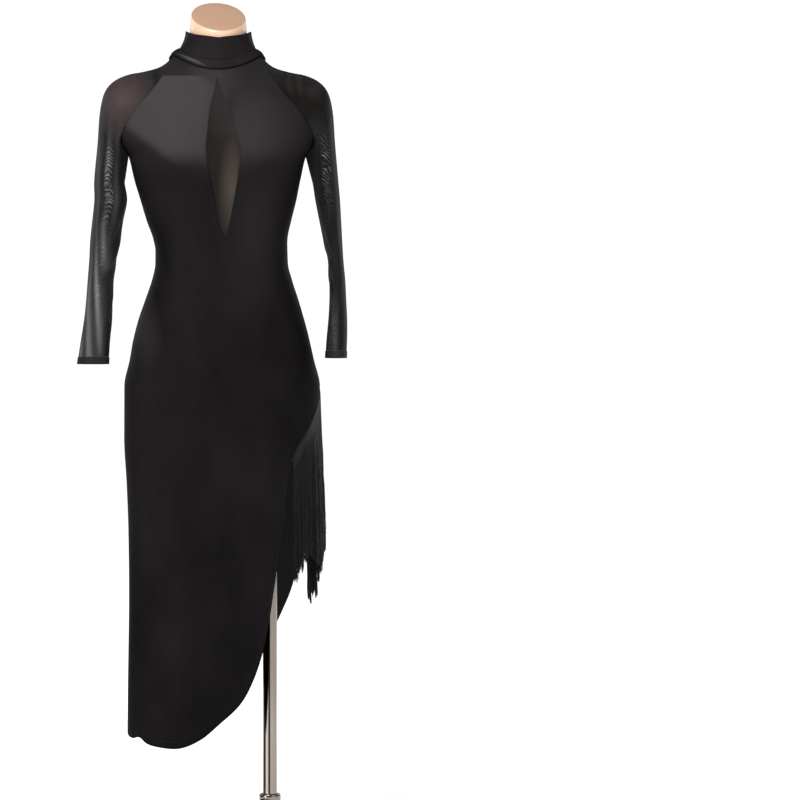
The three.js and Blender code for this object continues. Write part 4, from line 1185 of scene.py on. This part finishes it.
# Dress form
def form_ring(row, z, bust):
    ring = []
    for side, depth in ((-1, row["front"]), (1, row["back"])):
        for i in range(FORM_COLUMNS):
            s = math.sin(math.pi * side * (1 - 2 * i / FORM_COLUMNS) / 2)
            round_ = max(0, 1 - abs(s) ** row["power"]) ** (1 / row["power"])
            x = row["centre"] + row["half"] * s
            if side < 0:
                rise = bust * bust_rise(x - row["centre"], z) * math.sqrt(round_)
            else:
                spine = ease((z - 1010) / 90) * ease((1400 - z) / 60)
                rise = spine * (1.6 * bell(x + 3, 26) - 5.2 * bell(x + 3, 9) - 1.5 * bell(x + 3, 3)) * round_
            ring.append(Vector((x, side * (depth * round_ + rise), z)))
    return ring


def form_rings():
    def narrowed(row, by):
        return {**row, **{key: row[key] - by for key in ("half", "front", "back")}}

    rings = []
    below = FORM_EDGE + [(z, 0) for z in range(730, ARMPIT_Z + 1, 9)]
    for z, more in below:
        by = row_at(FORM_EASE, "z", z)["by"] + more
        rings.append(form_ring(narrowed(row_at(TORSO, "z", z), by), z, 1))
    joined = [narrowed(row_at(TORSO, "z", ARMPIT_Z), FORM_EASE[-1]["by"])] + FORM_TOP
    top = FORM_TOP[-1]["z"]
    z = ARMPIT_Z + 5
    while z < top:
        rings.append(form_ring(row_at(joined, "z", z), z, bell(z - ARMPIT_Z, 60)))
        z += 4 if z < 1390 else 3
    neck = {"centre": NECK["centre"], "half": NECK["half"], "front": NECK["deep"], "back": NECK["deep"], "power": 2}

    def slanted(scale, lift):
        found = []
        for point in form_ring(neck, 0, 0):
            x = NECK["centre"] + (point.x - NECK["centre"]) * scale
            y = point.y * scale
            found.append(Vector((x, y, FORM["cap_z"] + lift + y * FORM["cap_tilt"] + x * FORM["cap_roll"])))
        return found

    low = form_ring({**row_at(FORM_TOP, "z", top), "power": 2}, top, 0)
    for k in range(1, 5):
        rings.append([a.lerp(b, k / 5) for a, b in zip(low, slanted(*FORM_CAP[0]))])
    return rings + [slanted(scale, lift) for scale, lift in FORM_CAP]


# Materials
def put(socket, value):
    """Links a socket to another one, or gives it a value."""
    if isinstance(value, bpy.types.NodeSocket):
        socket.id_data.links.new(value, socket)
    else:
        socket.default_value = value


def fill(node, **values):
    """Sets properties and inputs of a node by name."""
    for key, value in values.items():
        if hasattr(node, key):
            setattr(node, key, value)
        else:
            put(node.inputs[key.replace("_", " ")], value)
    return node


def add_node(tree, kind, **values):
    return fill(tree.nodes.new(kind), **values)


def node_material(name, **values):
    """A material, its tree of nodes and its shader."""
    material = bpy.data.materials.new(name)
    material.use_nodes = True
    tree = material.node_tree
    return material, tree, fill(tree.nodes["Principled BSDF"], **values)


def ramp(tree, source, *stops):
    node = add_node(tree, "ShaderNodeValToRGB", Fac=source)
    elements = node.color_ramp.elements
    while len(elements) < len(stops):
        elements.new(0.5)
    for element, (position, color) in zip(elements, stops):
        element.position = position
        element.color = (*color, 1)
    return node.outputs["Color"]


def mapped(tree, **values):
    """The place on the object, through a mapping."""
    at = add_node(tree, "ShaderNodeTexCoord").outputs["Object"]
    return add_node(tree, "ShaderNodeMapping", Vector=at, **values).outputs["Vector"]


def noise(tree, scale, detail=3, stretch=(1, 1, 1)):
    place = mapped(tree, Scale=stretch)
    return add_node(
        tree, "ShaderNodeTexNoise", Scale=scale, Detail=detail, Roughness=NOISE_ROUGHNESS, Vector=place,
    ).outputs["Fac"]


def uneven(tree, low, high, source):
    return add_node(tree, "ShaderNodeMapRange", To_Min=low, To_Max=high, Value=source).outputs["Result"]


def weave(tree):
    place = mapped(tree, Scale=(1, 1, 0.7))
    return add_node(tree, "ShaderNodeTexVoronoi", Scale=950.0, Vector=place).outputs["Distance"]


def bump(shader, *heights):
    """Heights, each (socket, distance in metres, strength), one on top of another."""
    normal = {}
    for socket, distance, strength in heights:
        node = add_node(
            shader.id_data, "ShaderNodeBump", Strength=strength, Distance=distance, Height=socket, **normal,
        )
        normal = {"Normal": node.outputs["Normal"]}
    fill(shader, **normal)


def patch(tree, centre, size, turn=0):
    """A soft patch: one in its middle, nothing beyond its size."""
    place = mapped(
        tree, vector_type="TEXTURE", Location=centre, Rotation=(0, math.radians(turn), 0), Scale=size,
    )
    return add_node(tree, "ShaderNodeTexGradient", gradient_type="SPHERICAL", Vector=place).outputs["Fac"]


def spot_mask(tree, start, full, spot):
    return ramp(tree, patch(tree, *spot), (start, (0, 0, 0)), (full, (1, 1, 1)))


def maths(tree, operation, first, second=0):
    """Two values, each a socket or a number, joined by an operation."""
    node = add_node(tree, "ShaderNodeMath", operation=operation)
    put(node.inputs[0], first)
    put(node.inputs[1], second)
    return node.outputs["Value"]


def area_mask(tree, planes):
    """One inside every plane, each a direction with where the mask starts and is full along it."""
    at = add_node(tree, "ShaderNodeTexCoord").outputs["Object"]
    mask = 1
    for x, y, z, start, full in planes:
        along = add_node(tree, "ShaderNodeVectorMath", operation="DOT_PRODUCT")
        put(along.inputs[0], at)
        put(along.inputs[1], (x, y, z))
        edge = add_node(
            tree, "ShaderNodeMapRange", interpolation_type="SMOOTHSTEP", From_Min=start, From_Max=full,
            Value=along.outputs["Value"],
        )
        mask = maths(tree, "MULTIPLY", edge.outputs["Result"], mask)
    return mask


def blend(tree, mask, below, above):
    """One colour over another where the mask is."""
    node = add_node(tree, "ShaderNodeMix", data_type="RGBA", Factor=mask)
    put(node.inputs[6], below)
    put(node.inputs[7], (*above, 1))
    return node.outputs[2]


def velvet_material(name, low, high, rough=0.62, painted_light=(), glow=0.0):
    """Cloth with a short pile, with painted highlights in the zones that painted_light lists; glow makes it glow
    faintly, as painted light.
    """
    material, tree, shader = node_material(name, Emission_Strength=glow, Specular_IOR_Level=0.04)
    color = ramp(tree, noise(tree, 9, 4, (1, 1, 0.55)), (0.36, low), (0.66, high))
    for light, planes, spot in painted_light:
        mask = area_mask(tree, planes)
        if spot:
            mask = maths(tree, "MULTIPLY", spot_mask(tree, 0.05, 0.75, spot), mask)
        color = blend(tree, mask, color, light)
    fill(shader, Base_Color=color, Roughness=uneven(tree, rough - 0.05, rough + 0.09, noise(tree, 22)))
    bump(shader, (noise(tree, 26, 3, (1, 1, 0.45)), 0.0015, 0.10), (noise(tree, 1500, 2, (1, 1, 0.5)), 0.0004, 0.22))
    return material


def net_material():
    """Net with painted light, each where the sleeve says so: a paler level broken by soft folds, standing in for light
    seen through the net, a band of fine slanted lines, painted moiré streaks of that light, and a painted glow of the
    lit form at the right shoulder.
    """
    material, tree, shader = node_material("net", Alpha=0.92, Roughness=0.6, Specular_IOR_Level=0.04)
    level, band, around = [
        add_node(tree, "ShaderNodeAttribute", attribute_name=key).outputs["Fac"] for key in SLEEVE_VALUES
    ]

    def total(first, second):
        return maths(tree, "ADD", first, second)

    def product(first, second):
        return maths(tree, "MULTIPLY", first, second)

    folds = add_node(
        tree, "ShaderNodeTexWave", Scale=13, Distortion=12, Detail=2,
        Vector=mapped(tree, Scale=(1, 1, 0.16), Rotation=(0, 0.1, 0.2)),
    )
    pale = total(0.3, product(0.42, folds.outputs["Fac"]))
    height = add_node(tree, "ShaderNodeSeparateXYZ", Vector=mapped(tree)).outputs["Z"]
    slant = product(maths(tree, "ABSOLUTE", around), 0.62)
    place = total(total(height, slant), product(noise(tree, 34), 0.034))
    lines = maths(tree, "SINE", product(place, 2 * math.pi / LINE_PITCH))
    broken = product(maths(tree, "SUBTRACT", noise(tree, 85), 0.28), 1.5)
    lines = product(total(lines, 0.45), broken)
    value = total(product(level, pale), product(band, lines))
    color = ramp(
        tree, value, (0.0, (0.0035, 0.0032, 0.0034)), (0.42, (0.036, 0.0355, 0.036)), (1.0, (0.17, 0.167, 0.168)),
    )
    # Painted glow: the lit form seen through the net at the right shoulder, painted into the net's colour
    painted_glow = patch(tree, (-0.170, -0.06, 1.335), (0.07, 0.3, 0.075))
    fill(shader, Base_Color=blend(tree, painted_glow, color, (0.06, 0.042, 0.044)))
    bump(shader, (weave(tree), 0.0004, 0.35), (noise(tree, 60, 2, (1, 1, 0.3)), 0.0012, 0.2))
    return material


def inset_material():
    material, tree, shader = node_material("net_inset", Alpha=0.93, Roughness=0.55, Specular_IOR_Level=0.12)
    color = ramp(tree, noise(tree, 20), (0.3, (0.0042, 0.0036, 0.0037)), (0.7, (0.0075, 0.0062, 0.0062)))
    # Painted glow: the lit form seen through the inset low in the keyhole, painted into its colour
    painted_glow = spot_mask(tree, 0.1, 0.9, ((0.024, -0.1, 1.175), (0.03, 0.4, 0.11)))
    fill(shader, Base_Color=blend(tree, painted_glow, color, (0.05, 0.040, 0.032)))
    bump(shader, (weave(tree), 0.0004, 0.3))
    return material


def mottled_material(name, source, low, high, **values):
    """A material whose colour runs between two along a noise, given as (scale, detail, stretch)."""
    material, tree, shader = node_material(name, **values)
    fill(shader, Base_Color=ramp(tree, noise(tree, *source), low, high))
    return material, tree, shader


def make_materials():
    looks = {
        "velvet": velvet_material("velvet", (0.0046, 0.0038, 0.0041), (0.0094, 0.0081, 0.0086), painted_light=PAINTED_LIGHT),
        # The back panel's velvet glows faintly: painted light that lifts its shade
        "velvet_back_glow": velvet_material(
            "velvet_back_glow", (0.0052, 0.0043, 0.0046), (0.0098, 0.0083, 0.0089), glow=0.008,
        ),
        "collar": velvet_material(
            "collar_velvet", (0.0082, 0.0073, 0.0075), (0.0152, 0.0136, 0.014), 0.58, COLLAR_PAINTED_LIGHT,
        ),
        "band": velvet_material("band", (0.012, 0.0115, 0.0116), (0.03, 0.0285, 0.029), 0.58),
        "net": net_material(),
        "net_inset": inset_material(),
    }
    looks["fringe"], tree, shader = mottled_material(
        "fringe", (260, 2, (1, 1, 0.04)), (0.35, (0.002, 0.0018, 0.0019)), (0.7, (0.008, 0.0072, 0.0076)),
        Roughness=0.5, Specular_IOR_Level=0.2, Sheen_Weight=0.04, Sheen_Roughness=0.4,
    )
    twist = add_node(
        tree, "ShaderNodeTexWave", bands_direction="DIAGONAL", Scale=320.0, Distortion=1.0, Vector=mapped(tree),
    )
    bump(shader, (twist.outputs["Fac"], 0.0003, 0.3))

    looks["thread"] = mottled_material(
        "thread", (500, 2), (0.3, (0.010, 0.009, 0.010)), (0.7, (0.03, 0.028, 0.029)),
        Roughness=0.45, Specular_IOR_Level=0.4,
    )[0]

    looks["bead"], tree, shader = mottled_material(
        "bead", (180, 2), (0.3, (0.006, 0.006, 0.007)), (0.7, (0.014, 0.014, 0.015)),
        Roughness=0.1, Coat_Weight=1.0, Coat_Roughness=0.04,
    )
    bump(shader, (noise(tree, 90, 1), 0.0003, 0.2))

    looks["form"], tree, shader = node_material(
        "form", Roughness=0.36, Specular_IOR_Level=0.5, Coat_Weight=0.25, Coat_Roughness=0.28,
        Subsurface_Weight=0.06, Subsurface_Scale=0.02,
    )
    # Painted shade: the top face of the neck cap is darker than the neck's front wall
    cap = area_mask(tree, [(-FORM["cap_roll"], -FORM["cap_tilt"], 1, 1.4855, 1.4868)])
    body = ramp(tree, noise(tree, 5), (0.32, (0.72, 0.47, 0.32)), (0.68, (0.78, 0.53, 0.38)))
    fill(shader, Base_Color=blend(tree, cap, body, (0.46, 0.28, 0.185)))
    bump(shader, (noise(tree, 34), 0.0012, 0.05), (noise(tree, 700, 2), 0.0002, 0.06))

    looks["chrome"], tree, shader = mottled_material(
        "chrome", (12, 2, (1, 1, 0.2)), (0.35, (0.235, 0.2, 0.172)), (0.65, (0.285, 0.245, 0.213)), Metallic=1.0,
    )
    fill(shader, Roughness=uneven(tree, 0.06, 0.16, noise(tree, 60, 3, (1, 1, 0.1))))
    bump(shader, (noise(tree, 900, 2, (1, 1, 0.02)), 0.0001, 0.05))

    looks["floor"], tree, shader = mottled_material(
        "floor", (3, 2), (0.3, (0.93, 0.93, 0.93)), (0.7, (0.96, 0.96, 0.96)),
        Roughness=0.9, Specular_IOR_Level=0.1, Emission_Strength=1.0,
    )
    near = add_node(
        tree, "ShaderNodeTexGradient", gradient_type="SPHERICAL", Vector=mapped(tree, Scale=(0.28, 0.28, 0.28)),
    ).outputs["Fac"]
    fill(shader, Emission_Color=ramp(tree, near, (0.25, (0.95, 0.95, 0.95)), (0.9, (0.34, 0.34, 0.34))))
    return looks


LOOKS = make_materials()


def finish(obj, look, slot, *nodes):
    """The piece's material, its slot in the record, the solids it stands for and its ride."""
    obj.data.materials.clear()
    obj.data.materials.append(LOOKS[look])
    if nodes:
        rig.replaces(obj, *nodes)
    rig.slot(obj, slot)
    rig.ride(obj, "root")
    return obj


# The dress
front_rows, back_rows = panel_sheet(FRONT), panel_sheet(BACK)
front = finish(thick(face_out(sheet_mesh("front_cloth", front_rows))), "velvet", "velvet", "front_panel")
back = finish(thick(face_out(sheet_mesh("back_cloth", back_rows))), "velvet_back_glow", "velvet", "back_panel")
inset = finish(face_out(sheet_mesh("keyhole_net", inset_rows())), "net_inset", "net", "front_keyhole_net")

sleeves = {}
for name, arm, sign, creases in (
    ("right", RIGHT_ARM, -1, RIGHT_SLEEVE_CREASES),
    ("left", LEFT_ARM, 1, LEFT_SLEEVE_CREASES),
):
    rows, lit = sleeve_sheet(arm, sign, creases)
    sleeve = sheet_mesh(f"sleeve_net_{name}", rows, closed=True)
    # The sleeve's painted light, from sleeve_light, kept on its points for the net's colour
    for key, values in zip(SLEEVE_VALUES, zip(*lit)):
        sleeve.data.attributes.new(key, "FLOAT", "POINT").data.foreach_set("value", values)
    finish(face_out(sleeve, (sign * 0.19, 0, 1.1)), "net", "net", f"sleeve_{name}")
    cuff = ring_mesh(f"cuff_band_{name}", cuff_rings(arm, sign), joined=True)
    sleeves[name] = sleeve, finish(cuff, "band", "band", f"cuff_{name}")

binding = ring_mesh("keyhole_band", binding_rings(keyhole_loop(back_rows)), joined=True)
finish(binding, "band", "band", "keyhole_binding")
frames = neck_frames()
collar = finish(ring_mesh("collar_stand", collar_rings(frames)), "collar", "velvet", "collar_band")
fold = finish(ring_mesh("collar_roll", fold_rings(frames)), "collar", "velvet", "collar_fold")
beads = [finish(button(f"bead_{one[0]}", *one[1:], frames), "bead", "bead", one[0]) for one in BUTTONS]
front_fringe = fringe_object("fringe_threads_front", front_rows, FRINGE_FRONT)
finish(front_fringe, "fringe", "fringe", "fringe_front")
back_fringe = fringe_object("fringe_threads_back", back_rows, FRINGE_BACK)
finish(back_fringe, "fringe", "fringe", "fringe_back")
finish(ring_mesh("form_body", form_rings()), "form", "form", "dress_form")


# Stand
def turned(name, node, profile, x=POLE["x"], sides=72, joined=False):
    """A turned chrome piece; its profile lists radii and heights."""
    rings = [circle(Vector((x, 0, z)), radius, sides) for radius, z in profile]
    finish(ring_mesh(name, rings, joined), "chrome", "chrome", node)


def tube(name, node, outer, levels):
    """A ring round the pole: up its outside, each level more or less than the outer radius, and down its bore."""
    bore = POLE["radius"] + SEAM
    profile = [(outer + grow, z) for grow, z in levels] + [(bore, levels[-1][1]), (bore, levels[0][1])]
    turned(name, node, profile, joined=True)


foot, pole_top, socket_foot = BASE["thick"] + SEAM, FORM["bottom"] - SEAM, FORM["bottom"] - SEAM - SOCKET["tall"]
radius, edge, ferrule_top = POLE["radius"], BASE["radius"], FERRULE["top"]
turned("pole_tube", "pole", [
    (radius - 0.4, foot), (radius, foot + 0.4), (radius, foot + 1.2),
    (radius, pole_top - 1.2), (radius, pole_top - 0.4), (radius - 0.4, pole_top),
])
tube("socket_ring", "pole_socket", SOCKET["radius"], [
    (-1.5, socket_foot), (0, socket_foot + 1.5), (0, pole_top - 1.5), (-1.5, pole_top),
])
tube("ferrule_sleeve", "pole_ferrule", FERRULE["radius"], [
    (-0.8, foot), (0, foot + 0.8), (0, foot + 16), (-1, foot + 17), (-1, foot + 18), (0, foot + 19),
    (0, ferrule_top - 14), (-1, ferrule_top - 13), (-1, ferrule_top - 12), (0, ferrule_top - 11),
    (0, ferrule_top - 2), (-0.6, ferrule_top - 0.6), (-2, ferrule_top),
])
turned("base_disc", "base_plate", [
    (edge - 1, 0), (edge, 0.8), (edge, 5.6), (edge - 0.5, 7.2), (edge - 1.6, 8.4), (edge - 3.4, 9), (60, 9), (0.5, 9),
], x=0, sides=160)


# Sewing
def add_stitches(points, faces, path, normals):
    """A row of sewn stitches along a path on a surface, each pointed at both ends."""
    lengths = lengths_along(path)
    k = 0
    for n in range(int(lengths[-1] / STITCH["pitch"])):
        at = (n + 0.5) * STITCH["pitch"]
        while k < len(path) - 2 and lengths[k + 1] < at:
            k += 1
        span = lengths[k + 1] - lengths[k]
        if span < 1e-6:
            continue
        f = (at - lengths[k]) / span
        normal = normals[k].lerp(normals[k + 1], f).normalized()
        centre = path[k].lerp(path[k + 1], f) + normal * STITCH["lift"]
        along = (path[k + 1] - path[k]).normalized()
        side = along.cross(normal).normalized()
        first = len(points)
        points += [centre + along * end * STITCH["long"] / 2 - normal * STITCH["sink"] for end in (-1, 1)]
        points += circle(centre, STITCH["wide"] / 2, 4, side, normal)
        for i in range(4):
            j = (i + 1) % 4
            faces.append([first, first + 2 + i, first + 2 + j])
            faces.append([first + 1, first + 2 + j, first + 2 + i])


def sewn(name, rows, beside_keyhole=False):
    """Two rows of stitches along a panel's hem, one beside each sleeve and one beside the keyhole."""
    lines = [line for line, twin in rows]
    start, top = next(k for k, line in enumerate(lines) if line[0].z > ARMPIT_Z + 8), len(rows) - 1
    picks = [[(j, i) for i in range(COLUMNS)] for j in (2, 3)]
    picks += [[(j, i) for j in range(start, top)] for i in (2, COLUMNS - 2)]
    if beside_keyhole:
        picks.append([(j, HALF_COLUMNS - 2) for j in range(start - 40, top - 8)])
    normals = normals_along(lines)
    points, faces = [], []
    for pick in picks:
        path = [lines[j][i] for j, i in pick]
        out = [towards(normals[j][i], Vector((point.x * 0.3, point.y, 0))) for point, (j, i) in zip(path, pick)]
        add_stitches(points, faces, path, out)
    return finish(mesh_object(name, points, faces), "thread", "band")


front_sewing = sewn("front_sewing", front_rows, beside_keyhole=True)
back_sewing = sewn("back_sewing", back_rows)

# Cloth sheets
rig.sheet(front, flat=(0.47, 1.21), held="stretched", rests_on=["form_body"], area=0.43,
         with_pieces=[front_sewing, front_fringe])
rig.sheet(back, flat=(0.47, 1.19), held="stretched", rests_on=["form_body"], area=0.40,
         with_pieces=[back_sewing, back_fringe, binding])
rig.sheet(inset, flat=(0.062, 0.29), held="stretched", rests_on=["front_cloth"], area=0.0105)
for sleeve, cuff in sleeves.values():
    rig.sheet(sleeve, flat=(0.30, 0.52), held="stretched", rests_on=["front_cloth", "back_cloth"],
             area=0.125, with_pieces=[cuff])
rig.sheet(collar, flat=(0.42, 0.055), held="stretched", rests_on=["form_body"], with_pieces=[fold] + beads)

# Floor, light and camera
bpy.ops.mesh.primitive_circle_add(vertices=96, radius=14, fill_type="NGON", location=(0, 0, -0.0004))
floor = bpy.context.object
floor.name = "floor"
floor.data.materials.append(LOOKS["floor"])
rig.stage(floor)


def card(name, angle, away, wide, glow):
    """A tall studio card that only glossy metal mirrors, at an angle from the camera's side of the pole."""
    turn = math.radians(angle)
    half = wide / 2
    data = bpy.data.meshes.new(name)
    data.from_pydata([(x, 0, z) for x, z in ((-half, 0.002), (half, 0.002), (half, 1.1), (-half, 1.1))],
                     [], [(0, 1, 2, 3)])
    obj = bpy.data.objects.new(name, data)
    obj.location = (POLE["x"] / 1000 + away * math.sin(turn), -away * math.cos(turn), 0)
    obj.rotation_euler = (0, 0, turn)
    obj.visible_camera = obj.visible_diffuse = obj.visible_shadow = False
    bpy.context.scene.collection.objects.link(obj)
    material, tree, shader = node_material(
        name, Roughness=1.0, Specular_IOR_Level=0.0, Emission_Strength=glow,
        Base_Color=(0.02, 0.017, 0.014, 1), Emission_Color=(1, 1, 1, 1),
    )
    data.materials.append(material)
    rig.stage(obj)


card("card_dark_front", -11, 0.8, 0.42, 0.1)
card("card_light", -51, 0.8, 0.27, 3.2)
card("card_dark_side", -102, 0.8, 0.76, 0.1)

for name, at, aim, size, watts in (
    ("key", (-0.9, -1.9, 3.3), (0, 0, 1.1), (1.6, 1.2), 95),
    ("fill", (2.2, -2.6, 1.5), (0, 0, 0.9), (1.2, 2.0), 14),
    ("back_left", (-2.0, 2.2, 1.9), (0, 0, 1.0), (1.2, 2.0), 16),
    ("back_right", (2.0, 2.2, 1.9), (0, 0, 1.0), (1.2, 2.0), 16),
):
    light = bpy.data.lights.new(name, "AREA")
    light.shape = "RECTANGLE"
    light.size, light.size_y = size
    light.energy = watts
    lamp = bpy.data.objects.new(name, light)
    lamp.location = at
    lamp.rotation_euler = (Vector(aim) - Vector(at)).to_track_quat("-Z", "Y").to_euler()
    bpy.context.scene.collection.objects.link(lamp)

bpy.context.scene.view_settings.view_transform = "Standard"
world = bpy.data.worlds.new("studio")
bpy.context.scene.world = world
world.use_nodes = True
tree = world.node_tree
lighting = fill(tree.nodes["Background"], Color=(1, 1, 1, 1), Strength=0.26)
seen = add_node(tree, "ShaderNodeBackground", Color=(1, 1, 1, 1), Strength=1.05)
path = add_node(tree, "ShaderNodeLightPath")
chosen = add_node(tree, "ShaderNodeMixShader", Fac=path.outputs["Is Camera Ray"])
put(chosen.inputs[1], lighting.outputs["Background"])
put(chosen.inputs[2], seen.outputs["Background"])
fill(tree.nodes["World Output"], Surface=chosen.outputs["Shader"])

CAMERA_BACK = 5.9
CAMERA_HIGH = 0.809
MIDDLE_OFF = 0.3204
camera_data = bpy.data.cameras.new("camera")
camera_data.lens = 150
camera_data.sensor_width = 36
camera = bpy.data.objects.new("camera", camera_data)
camera.location = (0, -CAMERA_BACK, CAMERA_HIGH)
camera.rotation_euler = (math.radians(90), 0, -math.atan2(MIDDLE_OFF, CAMERA_BACK))
bpy.context.scene.collection.objects.link(camera)
bpy.context.scene.camera = camera

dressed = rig.bounds()
json.dump({"cad": [list(c) for c in cad_box], "visual": [list(c) for c in dressed]}, open("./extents.json", "w"))
